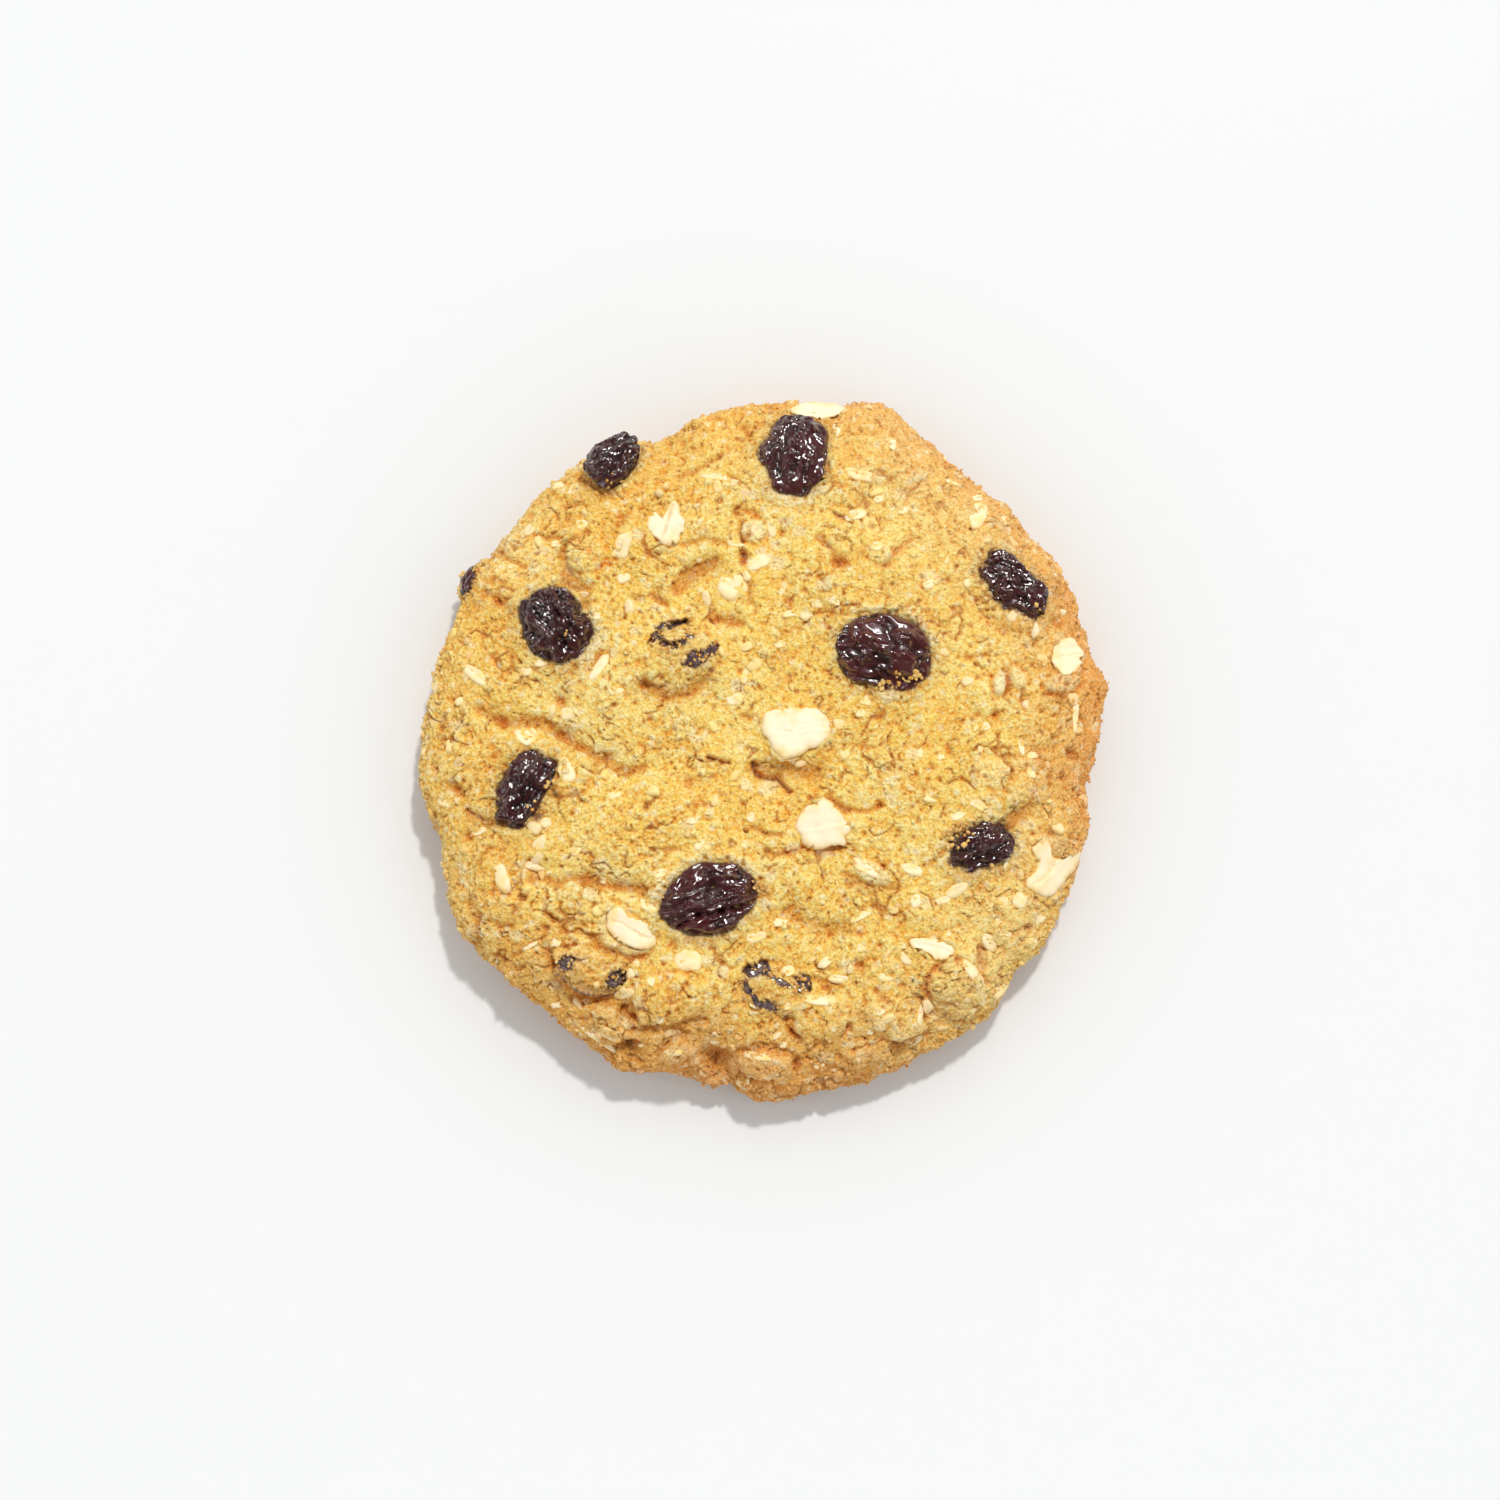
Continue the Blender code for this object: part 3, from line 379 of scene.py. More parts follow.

# Pools of painted shade and stain on the dough beside the raisins: x, y, semi-axes, yaw, strength
SHADE_AND_STAIN_POOLS = (
    (-25.9, -5.6, 0.6, 1.0, 20.0, 1.0), (-28.0, -8.4, 1.5, 0.8, 40.0, 1.0), (-26.2, -3.6, 0.5, 0.8, 10.0, 0.9),
    (17.6, 7.4, 2.0, 0.5, 6.0, 1.0), (24.2, -9.8, 1.7, 0.6, 35.0, 0.8), (25.4, -15.6, 1.9, 1.0, 10.0, 0.7),
    (-8.0, -23.6, 3.8, 0.6, 0.0, 0.7), (-0.3, -17.6, 0.8, 1.3, 10.0, 0.8), (-24.0, 21.0, 1.6, 0.9, -30.0, 0.8),
    (33.9, 20.4, 0.7, 1.6, 30.0, 0.7), (-21.4, 32.9, 1.8, 0.8, -35.0, 0.8), (0.4, 32.7, 1.2, 0.7, -30.0, 0.7),
    (-17.6, -32.4, 1.6, 1.0, -30.0, 0.6), (-33.0, -2.0, 1.4, 1.4, 0.0, 0.4), (-5.8, -38.9, 1.4, 1.6, 0.0, 0.6),
    (-4.5, 16.2, 1.8, 0.9, -10.0, 0.5), (0.4, -30.3, 2.0, 0.9, -25.0, 0.5), (-16.4, -37.4, 1.6, 0.9, 0.0, 0.8),
    (3.6, -2.6, 3.6, 1.1, 0.0, 0.45), (-11.4, 7.3, 3.4, 0.9, 0.0, 0.55), (27.3, -25.8, 0.7, 1.1, 0.0, 0.7),
    (29.5, -15.0, 1.8, 0.9, -20.0, 0.5), (7.4, -12.7, 2.6, 0.5, 0.0, 0.5), (-33.5, -9.2, 2.6, 0.6, -12.0, 0.5),
    (-21.3, -31.2, 3.0, 0.7, -8.0, 0.7), (37.0, 6.4, 1.9, 0.5, 0.0, 0.7), (23.2, -32.0, 2.6, 1.2, 15.0, 0.4),
)

# The eight large flakes: node, thickness, crease angle (deg), shade (0 bare cream, 1 golden), crease depth, outline in mm
LARGE_FLAKES = (
    ("oat_flake_01", 0.95, 4.0, 0.0, 0.07, (-0.35, 2.9), (0.1, 4.2), (1.7, 4.85), (4.2, 5.05), (6.3, 5.0), (7.3, 4.4), (8.0, 3.5), (8.35, 2.2),
     (7.9, 1.1), (6.6, 0.2), (4.8, -0.5), (3.8, -1.05), (2.8, -1.35), (1.9, -0.9), (1.0, 0.0), (0.3, 1.2)),
    ("oat_flake_02", 0.9, 6.0, 0.05, 0.04, (3.9, -9.7), (4.3, -8.4), (5.3, -7.2), (6.5, -6.7), (7.3, -6.1), (8.3, -6.6), (9.1, -7.6), (10.0, -8.8),
     (10.9, -9.7), (10.7, -10.4), (10.1, -11.0), (10.0, -11.9), (8.3, -12.0), (6.8, -12.5), (5.3, -12.2), (4.5, -11.2)),
    ("oat_flake_03", 0.85, 68.0, 0.12, 0.25, (-14.6, 28.6), (-13.6, 29.6), (-12.9, 28.6), (-12.2, 29.6), (-11.3, 31.0), (-10.6, 30.0),
     (-10.0, 28.6), (-9.9, 27.0), (-10.8, 25.5), (-12.2, 25.2), (-13.2, 26.0), (-14.3, 26.9)),
    ("oat_flake_04", 0.9, -24.0, 0.10, 0.2, (-19.5, -20.6), (-18.4, -19.6), (-17.5, -19.9), (-16.9, -20.8), (-15.3, -21.3), (-14.0, -22.0),
     (-13.4, -23.4), (-13.6, -24.6), (-15.2, -25.0), (-17.0, -24.4), (-18.6, -23.6), (-19.5, -22.4)),
    ("oat_flake_05", 0.8, 4.0, 0.22, 0.15, (36.2, 12.7), (37.0, 13.9), (38.3, 14.1), (39.6, 13.2), (40.0, 12.0), (39.6, 10.9), (38.7, 9.6),
     (37.4, 9.2), (36.5, 9.9), (35.9, 11.2)),
    ("oat_flake_06", 0.75, -14.0, 0.12, 0.05, (18.0, -23.7), (19.4, -23.5), (21.4, -23.7), (22.8, -24.2), (23.6, -25.0), (22.9, -26.0),
     (21.6, -26.4), (20.6, -25.6), (19.4, -24.9), (18.3, -24.6)),
    ("oat_flake_07", 0.85, 48.0, 0.20, 0.18, (33.4, -12.4), (34.6, -11.4), (35.6, -11.7), (36.0, -13.2), (37.6, -13.6), (39.2, -12.5),
     (39.8, -13.0), (38.8, -15.0), (37.6, -16.4), (36.4, -17.9), (34.9, -18.3), (33.2, -17.6), (32.5, -16.4), (33.6, -15.3),
     (33.9, -14.0)),
    ("oat_flake_08", 0.8, -6.0, 0.10, 0.05, (3.2, 42.7), (4.6, 43.6), (6.8, 44.0), (9.0, 43.7), (10.6, 42.9), (9.6, 42.2), (8.0, 41.6),
     (6.2, 41.7), (4.6, 41.8)),
)
# Other flakes and broken pieces that can be told apart: x, y, semi-axes, yaw, thickness, shade
SMALL_FLAKES = (
    (-17.7, 25.3, 1.9, 1.2, 60, .6, .15), (-4.0, 20.2, 1.9, 1.7, -30, .7, .12), (-0.7, 23.2, 1.7, 0.9, 25, .55, .1),
    (-0.9, 27.3, 0.8, 1.1, 10, .45, .35), (0.9, 27.4, 0.6, 1.2, 15, .45, .3), (26.8, 29.4, 1.3, 1.7, -15, .6, .1),
    (26.8, 31.7, 0.8, 0.5, 0, .5, .2), (9.1, 40.4, 0.5, 1.25, 8, .5, .0), (38.9, 4.3, 0.45, 2.2, -4, .55, .1),
    (11.4, 29.2, 1.4, 0.8, 20, .5, .15), (-20.5, 10.1, 0.7, 2.1, -34, .6, .12), (-36.0, 9.3, 1.9, 0.9, -38, .6, .12),
    (-9.4, -26.3, 1.7, 1.6, 0, .6, .25), (-32.6, -16.0, 0.95, 2.1, 20, .7, .08), (-28.0, -12.6, 1.0, 2.1, -10, .6, .2),
    (-28.6, -14.6, 1.5, 0.6, -12, .5, .12), (-29.7, 1.5, 1.5, 0.95, -25, .7, .05), (-24.5, -2.7, 1.1, 1.7, 12, .6, .12),
    (25.6, -27.4, 0.7, 1.5, 38, .7, .12), (27.0, -29.6, 0.6, 1.9, 14, .7, .15), (27.3, -31.2, 0.5, 0.9, 0, .6, .2),
    (7.0, -31.2, 2.1, 0.75, -4, .6, .15), (19.5, -33.0, 0.35, 1.5, -6, .6, .15), (19.0, -36.3, 1.1, 0.4, 36, .5, .15),
    (18.4, -15.0, 1.6, 0.75, -12, .55, .12), (12.6, -14.9, 1.9, 0.7, -30, .55, .1), (23.9, -17.6, 1.7, 0.8, 32, .6, .35),
    (22.2, -18.8, 1.0, 0.6, 5, .5, .3), (18.8, -18.9, 0.75, 1.0, 0, .5, .2), (29.6, -19.0, 0.9, 0.8, 30, .55, .4),
    (31.8, -18.8, 1.1, 1.0, 40, .6, .4), (28.0, -24.0, 1.3, 0.9, -45, .6, .12), (30.2, -13.9, 0.3, 1.2, -25, .5, .3),
    (28.3, -14.9, 0.5, 0.5, 0, .5, .35), (-20.7, -36.1, 2.9, 0.4, -36, .5, .15), (-19.2, -35.5, 1.5, 0.75, -25, .55, .5),
    (-6.1, 34.0, 2.1, 0.45, -5, .4, .35), (-25.8, 33.3, .8, .5, 20, .4, .2), (-23.8, 32.7, .9, .6, 50, .4, .2),
    (-22.7, 28.1, .85, .6, 0, .4, .3), (-17.5, 21.3, .95, .7, 30, .45, .25), (-26.0, 25.7, .7, .5, 0, .4, .3),
    (-8.1, 23.6, .4, .4, 0, .4, .1), (-3.6, 25.5, 1.0, .4, -10, .4, .25), (11.8, 34.3, 2.0, .75, -15, .4, .5),
    (14.3, 31.2, .7, .5, 20, .4, .3), (14.0, 25.2, .9, .6, 0, .4, .3), (6.6, 18.0, .8, .6, 20, .4, .2),
    (8.8, 18.3, .7, .5, -20, .4, .2), (3.2, 16.8, 1.0, .5, 5, .4, .3), (23.6, 33.6, .9, .35, -20, .4, .25),
    (16.1, 38.2, .5, .8, 0, .4, .2), (17.5, 29.8, .8, .5, 30, .4, .3), (30.3, 29.0, .7, .5, -40, .4, .25),
    (20.5, 20.5, .9, .6, 10, .4, .3), (32.0, 0.2, .4, 1.1, 5, .5, .05), (33.4, -0.8, .8, .5, 10, .45, .45),
    (-1.75, -8.5, .6, .8, 30, .45, .15), (-12.9, -15.5, .9, .6, 20, .45, .15), (-14.0, -28.9, .7, .5, -30, .45, .1),
    (-12.9, -33.7, .6, .45, 20, .45, .1), (9.2, -28.6, 1.3, .6, -10, .5, .08), (-6.1, -36.1, .9, .8, -20, .55, .12),
    (-29.0, -24.4, 1.3, .35, 25, .5, .15), (-26.0, -31.8, .7, .5, 0, .5, .2), (-25.9, -24.1, .7, .6, 0, .5, .25),
    (-11.3, -37.7, 1.2, .6, 12, .5, .55), (-0.8, -38.2, 1.7, .55, -10, .5, .3), (33.6, -24.0, .8, .6, 60, .45, .4),
    (34.5, -21.1, .7, .6, 30, .45, .35), (-3.6, 6.2, 1.3, .8, 20, .45, .12), (-2.4, 9.0, .5, 1.0, -20, .4, .25),
    (12.6, 6.0, .9, .6, 0, .45, .1), (12.0, 4.4, .7, .5, 20, .4, .2), (7.1, 4.5, .7, .35, 20, .4, .1),
    (7.4, -6.6, .5, .5, 0, .4, .05), (27.6, 2.8, .5, .7, 0, .4, .25), (19.4, -0.6, .5, .6, 0, .4, .2),
    (22.0, -1.0, .5, .5, 0, .4, .25), (33.2, -3.0, .6, .8, 10, .45, .3), (26.6, -7.0, 1.1, .7, -25, .4, .3),
    (24.0, -8.4, 1.0, .6, 20, .4, .35), (-27.9, 10.6, .7, .5, 0, .4, .1), (-29.5, 9.6, .8, .6, 10, .4, .3),
    (-18.4, 7.2, 1.0, .6, 10, .4, .3), (-24.4, 4.4, 1.0, .9, 0, .4, .3), (-41.2, 8.0, .5, .9, 10, .4, .35),
    (-35.5, -10.2, 1.1, .5, 10, .45, .15), (-40.0, -6.6, .9, .5, -20, .4, .35), (-27.2, -9.2, .9, .7, 10, .45, .3),
    (-18.6, -5.8, 1.0, .5, 25, .4, .35), (-23.4, -12.6, .9, .6, 40, .4, .35), (-20.0, -16.4, .5, .5, 0, .4, .3),
    (-14.4, -19.6, 1.3, .7, -35, .5, .3), (-14.8, -23.6, 1.1, 1.2, 0, .5, .3), (-16.3, -27.4, .7, 1.4, -28, .55, .3),
    (-17.4, -30.4, 1.3, .7, 10, .6, .3), (-1.0, -23.4, 1.5, .7, 12, .45, .5), (2.0, -21.6, .9, .6, 0, .4, .3),
    (3.0, -27.6, .9, .8, 20, .5, .15), (3.5, -29.4, .7, .5, 10, .45, .3), (2.9, -32.0, .6, .45, 20, .45, .2),
    (-1.4, -31.9, .5, .25, -30, .4, .15), (12.0, -20.8, 1.7, .5, 28, .4, .3), (14.5, -32.7, .6, .45, 30, .45, .2),
    (13.2, -35.2, .5, .4, 0, .45, .2), (10.6, -35.3, .4, .3, 0, .4, .2), (1.6, -35.6, .7, .4, 30, .45, .25),
    (2.4, -36.8, .5, .4, 0, .45, .25), (6.9, -39.4, .7, .4, 20, .4, .45), (-2.6, -41.6, .9, .5, 10, .5, .5),
    (-15.4, -36.8, .4, .3, 0, .4, .3), (24.0, -31.6, .2, .2, 0, .3, .0), (29.1, -21.4, .5, .4, 0, .4, .2),
    (22.9, -22.9, .5, .4, 30, .4, .2), (30.4, -23.0, .5, .35, 0, .4, .2), (15.0, -28.4, 1.0, .6, 0, .4, .4),
    (-29.4, 27.6, .9, .6, 40, .4, .3), (-21.0, 16.5, .8, .5, 0, .4, .3), (2.0, 13.0, .8, .5, 20, .4, .35),
    (-9.0, -9.0, .7, .5, 0, .4, .35), (-8.0, -12.0, .8, .6, 30, .4, .4), (10.5, 14.5, .5, .4, 0, .4, .4),
)

# ================================================================= mesh helpers
def mesh_from(name, points_mm, faces, colours=None, normals=None):
    """A mesh from arrays: points in design mm, triangles, and a colour for each point."""
    points = (np.asarray(points_mm, float) + SHIFT) * MM
    faces = np.asarray(faces, np.int32)
    mesh = bpy.data.meshes.new(name)
    mesh.vertices.add(len(points))
    mesh.vertices.foreach_set("co", points.astype(np.float32).ravel())
    mesh.loops.add(3 * len(faces))
    mesh.loops.foreach_set("vertex_index", faces.ravel())
    mesh.polygons.add(len(faces))
    mesh.polygons.foreach_set("loop_start", np.arange(0, 3 * len(faces), 3, dtype=np.int32))
    mesh.polygons.foreach_set("loop_total", np.full(len(faces), 3, np.int32))
    mesh.update(calc_edges=True)
    mesh.shade_smooth()
    if normals is not None:
        mesh.normals_split_custom_set_from_vertices(normals.tolist())
    for key, values in (colours or {}).items():
        if values.ndim == 2:
            layer = mesh.color_attributes.new(key, "FLOAT_COLOR", "POINT")
            rgba = np.ones((len(points), 4), np.float32)
            rgba[:, :3] = values
            layer.data.foreach_set("color", rgba.ravel())
        else:
            layer = mesh.attributes.new(key, "FLOAT", "POINT")
            layer.data.foreach_set("value", values.astype(np.float32))
    return mesh


def point_normals(p, faces):
    a, b, c = p[faces[:, 0]], p[faces[:, 1]], p[faces[:, 2]]
    n = np.cross(b - a, c - a)
    out = np.zeros_like(p)
    for k in range(3):
        for axis in range(3):
            out[:, axis] += np.bincount(faces[:, k], weights=n[:, axis], minlength=len(p))
    return out / np.maximum(np.linalg.norm(out, axis=1), 1e-12)[:, None]


def ico(levels):
    bm = bmesh.new()
    bmesh.ops.create_icosphere(bm, subdivisions=levels, radius=1.0)
    p = np.array([v.co[:] for v in bm.verts])
    f = np.array([[v.index for v in face.verts] for face in bm.faces], np.int32)
    bm.free()
    return p, f


# ================================================================= raisins
def turn_matrix(yaw, pitch, roll):
    m = Matrix.Rotation(math.radians(yaw), 3, 'Z') @ Matrix.Rotation(math.radians(-pitch), 3, 'Y') \
        @ Matrix.Rotation(math.radians(roll), 3, 'X')
    return np.array(m)


def raisin_form(unit_points, length, width, thick, folds, taper, seed):
    """The solid's own shrivelled oval, on any set of points of the unit sphere (long axis +X)."""
    rng = np.random.default_rng(seed)
    phase = rng.uniform(0.0, 2.0 * math.pi, 6)
    c = unit_points[:, 0]
    s = np.hypot(unit_points[:, 1], unit_points[:, 2])
    lat, lon = np.arctan2(s, c), np.arctan2(unit_points[:, 2], unit_points[:, 1])
    fold = 0.055 * s * np.sin(folds * lon + phase[0] + 1.3 * np.sin(lat * 2.0 + phase[1]))
    bulge = 0.05 * np.sin(2.0 * lat + phase[2]) + 0.045 * s * np.sin(2.0 * lon + phase[3] + lat)
    fat = (1.0 + fold + bulge) * (1.0 + taper * c)
    s9 = s ** 0.9
    return np.stack([0.5 * length * np.sign(c) * np.abs(c) ** 0.88 * (1.0 + 0.5 * bulge),
                     0.5 * width * s9 * np.cos(lon) * fat,
                     0.5 * thick * s9 * np.sin(lon) * fat], axis=1)


def ridged(p, seed, octaves=3, sharp=1.0):
    """Rounded ridges between narrow valleys, as on dried fruit skin, 0 in the valleys."""
    total, amp, scale, norm = np.zeros(len(p)), 1.0, 1.0, 0.0
    for k in range(octaves):
        n = np.abs(gradient_noise(p * scale + 9.1 * k, seed + 31 * k)) * 2.6
        total += amp * np.clip(n, 0.0, 1.0) ** sharp
        norm += amp
        amp *= 0.5
        scale *= 2.1
    return total / norm


def round_tops(p, faces, rounds, k):
    """Wears down the sharp tops of the skin and leaves its valleys as deep as they are."""
    count = 2.0 * np.bincount(faces.ravel(), minlength=len(p))
    for _ in range(rounds):
        total = np.zeros_like(p)
        for i in range(3):
            other = p[faces[:, (i + 1) % 3]] + p[faces[:, (i + 2) % 3]]
            for axis in range(3):
                total[:, axis] += np.bincount(faces[:, i], weights=other[:, axis], minlength=len(p))
        n = point_normals(p, faces)
        out = np.sum((total / count[:, None] - p) * n, axis=1)
        p = p + n * (k * np.minimum(out, 0.0))[:, None]
    return p


# Long proud folds on the exposed skins, in raisin axes seen from above: half width, height, then u, v points
SKIN_FOLDS = {
    "raisin_02": ((0.22, 0.42, -3.8, 3.6, -0.6, 4.1, 1.4, 3.2), (0.2, 0.4, 2.4, 2.6, 0.6, 1.9, -1.2, 1.7),
                  (0.22, 0.45, 2.8, -1.2, 0.6, -0.2, -2.6, 0.6), (0.2, 0.4, 4.8, 0.6, 3.2, 1.2),
                  (0.2, 0.4, 4.9, -0.8, 3.6, -2.0, 2.4, -2.9), (0.2, 0.35, -0.6, -2.2, -2.8, -1.4),
                  (0.2, 0.35, -1.2, -3.4, -3.4, -2.8), (0.2, 0.3, 2.0, 0.8, -0.6, 0.9), (0.2, 0.3, 0.2, -1.0, -2.4, -0.4)),
    "raisin_04": ((0.2, 0.4, -2.9, 0.9, -2.2, 1.3, -1.3, 1.0, -0.8, 0.3, -1.2, -0.5, -2.1, -0.7, -2.8, -0.2, -2.9, 0.9),
                  (0.22, 0.4, -4.6, 2.4, -5.3, 0.6, -4.7, -1.4, -3.3, -2.6), (0.2, 0.35, -3.5, 2.1, -3.5, 0.4),
                  (0.2, 0.35, -3.8, -1.0, -2.3, -1.8, -1.4, -1.0), (0.2, 0.4, 0.3, 2.7, 0.9, 2.1, 2.4, 2.3, 2.6, 1.2),
                  (0.2, 0.3, -0.4, -3.0, 0.2, -2.1, 1.1, -1.8, 2.2, -2.4), (0.2, 0.3, 1.0, 3.2, 2.4, 3.1, 3.2, 2.2),
                  (0.2, 0.3, 0.2, 0.2, 1.7, 0.0, 2.8, 0.2)),
    "raisin_08": ((0.3, -0.55, -4.9, -2.6, -2.2, -1.9, 1.0, -2.2, 3.6, -2.6, 5.4, -2.2), (0.3, -0.4, 0.4, 3.4, 0.9, 1.2, 0.2, -1.2),
                  (0.22, 0.35, -5.2, 1.2, -2.6, 0.9, 0.2, 1.1), (0.22, 0.35, 1.4, 2.6, 3.2, 1.8, 4.6, 0.6),
                  (0.22, 0.35, -3.8, -0.6, -0.6, -0.9, 1.6, 0.2), (0.22, 0.3, 1.8, -0.6, 3.8, -0.8, 5.0, 0.0),
                  (0.22, 0.3, -1.6, -3.6, 0.6, -3.4, 2.6, -3.6)),
    "raisin_03": ((0.3, -0.5, -3.4, 2.4, -0.6, 1.3, 1.4, -0.6, 3.8, -1.2), (0.22, 0.35, -2.6, -1.2, 0.6, -1.8, 2.4, -3.0),
                  (0.22, 0.35, -0.8, 3.0, 1.8, 1.6, 3.6, 1.0), (0.22, 0.35, -3.6, 0.4, -1.2, -0.2)),
}


PLAN_FIT = {"raisin_04": (1.08, 0.90)}
# Corners of the fruit as it shows above the dough, round its own middle: x, y
SHOWING = {
    "raisin_04": (14.5, 12.0, (-5.3, 2.0), (-3.8, 3.6), (-1.2, 4.5), (2.3, 4.3), (4.7, 3.2), (6.0, 1.1), (6.3, -0.4), (5.9, -2.7),
                  (4.1, -4.3), (1.5, -4.7), (-0.9, -3.9), (-3.8, -3.3), (-5.1, -1.5), (-5.5, 0.3)),
    "raisin_01": (-19.0, 36.3, (-2.9, 1.0), (-1.0, 2.4), (0.6, 3.2), (2.0, 3.7), (3.2, 2.7), (3.5, 1.6), (3.2, -0.2), (2.4, -1.4),
                  (1.2, -2.9), (-1.0, -3.7), (-2.3, -2.6), (-3.7, -0.9)),
    "raisin_03": (-26.0, 15.5, (-4.6, 2.6), (-2.9, 3.7), (-0.9, 4.6), (1.1, 4.5), (2.3, 3.2), (3.2, 1.5), (4.3, 0.4), (4.9, -1.4),
                  (4.0, -2.7), (3.0, -3.9), (1.5, -4.9), (-0.4, -4.5), (-2.6, -3.7), (-3.6, -1.8), (-4.3, 0.7)),
    "raisin_02": (3.5, 36.8, (-1.4, 4.9), (-0.6, 5.3), (1.4, 5.2), (4.2, 3.7), (4.3, 1.3), (4.0, -1.3), (3.5, -4.0), (1.4, -5.3),
                  (-0.9, -4.9), (-3.3, -4.1), (-4.2, -1.3), (-4.0, 0.6), (-2.8, 2.5)),
    "raisin_08": (-6.8, -18.6, (-6.0, -1.6), (-5.3, 0.7), (-3.9, 2.4), (-1.4, 4.2), (1.3, 4.3), (4.1, 3.9), (5.4, 2.5), (5.8, 0.3),
                  (4.4, -2.3), (2.3, -3.9), (-0.6, -4.3), (-3.8, -3.9), (-5.6, -2.7)),
}


def fit_showing(name, p):
    """Draws the fruit in or out, by direction in plan, until its part above the dough has the given corners."""
    if name not in SHOWING:
        return p
    cx, cy = SHOWING[name][:2]
    corners = np.array(SHOWING[name][2:])
    want_at = np.degrees(np.arctan2(corners[:, 1], corners[:, 0])) % 360.0
    order = np.argsort(want_at)
    want_at, want = want_at[order], np.hypot(corners[order, 0], corners[order, 1])
    rel = p[:, :2] - np.array([cx, cy])
    at, radius = np.degrees(np.arctan2(rel[:, 1], rel[:, 0])) % 360.0, np.hypot(rel[:, 0], rel[:, 1])
    bins = np.arange(0.0, 360.0, 10.0)
    now = []
    for b in bins:
        members = np.where(np.abs((at - b + 180.0) % 360.0 - 180.0) < 5.0)[0]
        members = members[np.argsort(-radius[members])][3::4]
        found = radius[members[0]]
        for i in members:
            if p[i, 2] > form_height_at(p[i, 0], p[i, 1]) + 0.15:
                found = radius[i]
                break
        now.append(found)
    ratio = np.interp(bins, want_at, want, period=360.0) / np.array(now)
    ratio = np.clip((ratio + 0.5 * np.roll(ratio, 1) + 0.5 * np.roll(ratio, -1)) / 2.0, 0.74, 1.20)
    k = np.interp(at, bins, ratio, period=360.0)
    k = 1.0 + (k - 1.0) * smooth(0.0, 1.6, radius)
    # nothing stands far out of the outline
    reach = radius * k
    limit = np.interp(at, want_at, want, period=360.0)
    reach = np.where(reach > limit, limit + 0.22 * (reach - limit), reach)
    p = p.copy()
    p[:, :2] = np.array([cx, cy]) + rel * (reach / np.maximum(radius, 1e-6))[:, None]
    return p


def build_raisin(row, level):
    """Returns points (design mm), faces and the skin's fields for one raisin."""
    name, x, y, length, width, thick, yaw, pitch, roll, lift, folds, taper, seed = row
    u, faces = ico(level)
    p = raisin_form(u, length, width, thick, folds, taper, seed)
    n = point_normals(p, faces)
    size = (length * width * thick) ** (1.0 / 3.0)
    # the skin is drawn along the length, so its wrinkles are longer than wide
    q = p * np.array([0.62, 1.0, 1.0])
    warp = np.stack([fbm(q / 2.6 + 3.7 * k, seed * 7 + k, 2) for k in range(3)], axis=1)
    w = q + 1.5 * warp
    broad = ridged(w / 3.2, seed * 13 + 1, 2, 0.8)
    middle = ridged((w + 0.5 * warp) / 1.55, seed * 13 + 2, 2, 0.75)
    fine = ridged((w + 0.4 * warp) / 0.72, seed * 13 + 3, 2, 0.8)
    coarse = {"raisin_04": 0.28, "raisin_02": 0.55, "raisin_08": 0.60}.get(name, 0.9)
    calm = {"raisin_04": 0.25, "raisin_02": 0.6, "raisin_08": 0.6}.get(name, 1.0)
    d = 0.95 * (broad - 0.55) + 0.80 * coarse * (middle - 0.52) + 0.34 * calm * (fine - 0.5)
    d += 0.25 * fbm(p / 3.0, seed * 13 + 5, 2)
    for fold in SKIN_FOLDS.get(name, ()):
        half, height = fold[0], fold[1]
        for k in range(2, len(fold) - 3, 2):
            dist, along, side = to_line(p[:, 0], p[:, 1], *fold[k:k + 4])
            top = smooth(0.25, 0.70, n[:, 2])
            d += (1.0 if name == "raisin_02" else 1.5) * height * np.exp(-(dist / half) ** 2) * top
    d *= size / 7.8
    # pinched ends
    ends = np.abs(u[:, 0]) ** 6
    d -= 0.25 * ends
    p = round_tops(p + n * d[:, None], faces, 7 if level > 5 else 3, 0.85)
    # a smaller crease set on the new surface
    n2 = point_normals(p, faces)
    tiny = ridged((p * np.array([0.7, 1.0, 1.0]) + 0.35 * warp) / 0.42, seed * 13 + 9, 1, 0.9)
    thin = np.exp(-(gradient_noise((q + 0.8 * warp) / 2.3, seed * 13 + 21) / 0.055) ** 2)
    thin = np.maximum(thin, 0.8 * calm * np.exp(-(gradient_noise((q + 0.5 * warp) / 1.45, seed * 13 + 22) / 0.070) ** 2))
    p = p + n2 * (0.085 * calm * (tiny - 0.5) + 0.24 * (size / 7.8) * thin * smooth(0.10, 0.50, n2[:, 2]))[:, None]
    # 1 on the ridges and 0 in the folds, for painted shade that darkens the folds
    fold_shade = smooth(0.10, 0.62, 0.5 * broad + 0.35 * middle + 0.15 * fine)
    turn = turn_matrix(yaw, pitch, roll)
    z = form_height_at(x, y) + lift
    if name == "raisin_10":                 # most of it is inside the dough
        p, x, y = 0.80 * p, x - 0.3, y + 0.8
    p = (p @ turn.T) * np.array(PLAN_FIT.get(name, (1.0, 1.0)) + (1.0,)) + np.array([x, y, z])
    return fit_showing(name, p), faces, fold_shade


RAISIN_DATA = {}
for row in RAISINS:
    RAISIN_DATA[row[0]] = build_raisin(row, 6 if row[0] in
                                       ("raisin_01", "raisin_02", "raisin_03", "raisin_04", "raisin_05", "raisin_06",
                                        "raisin_07", "raisin_08") else 5)
RAISIN_TREES = {}
for key, (p, faces, fold_shade) in RAISIN_DATA.items():
    RAISIN_TREES[key] = BVHTree.FromPolygons([Vector(v) for v in p.tolist()], [tuple(f) for f in faces.tolist()])
stamp("raisins formed")

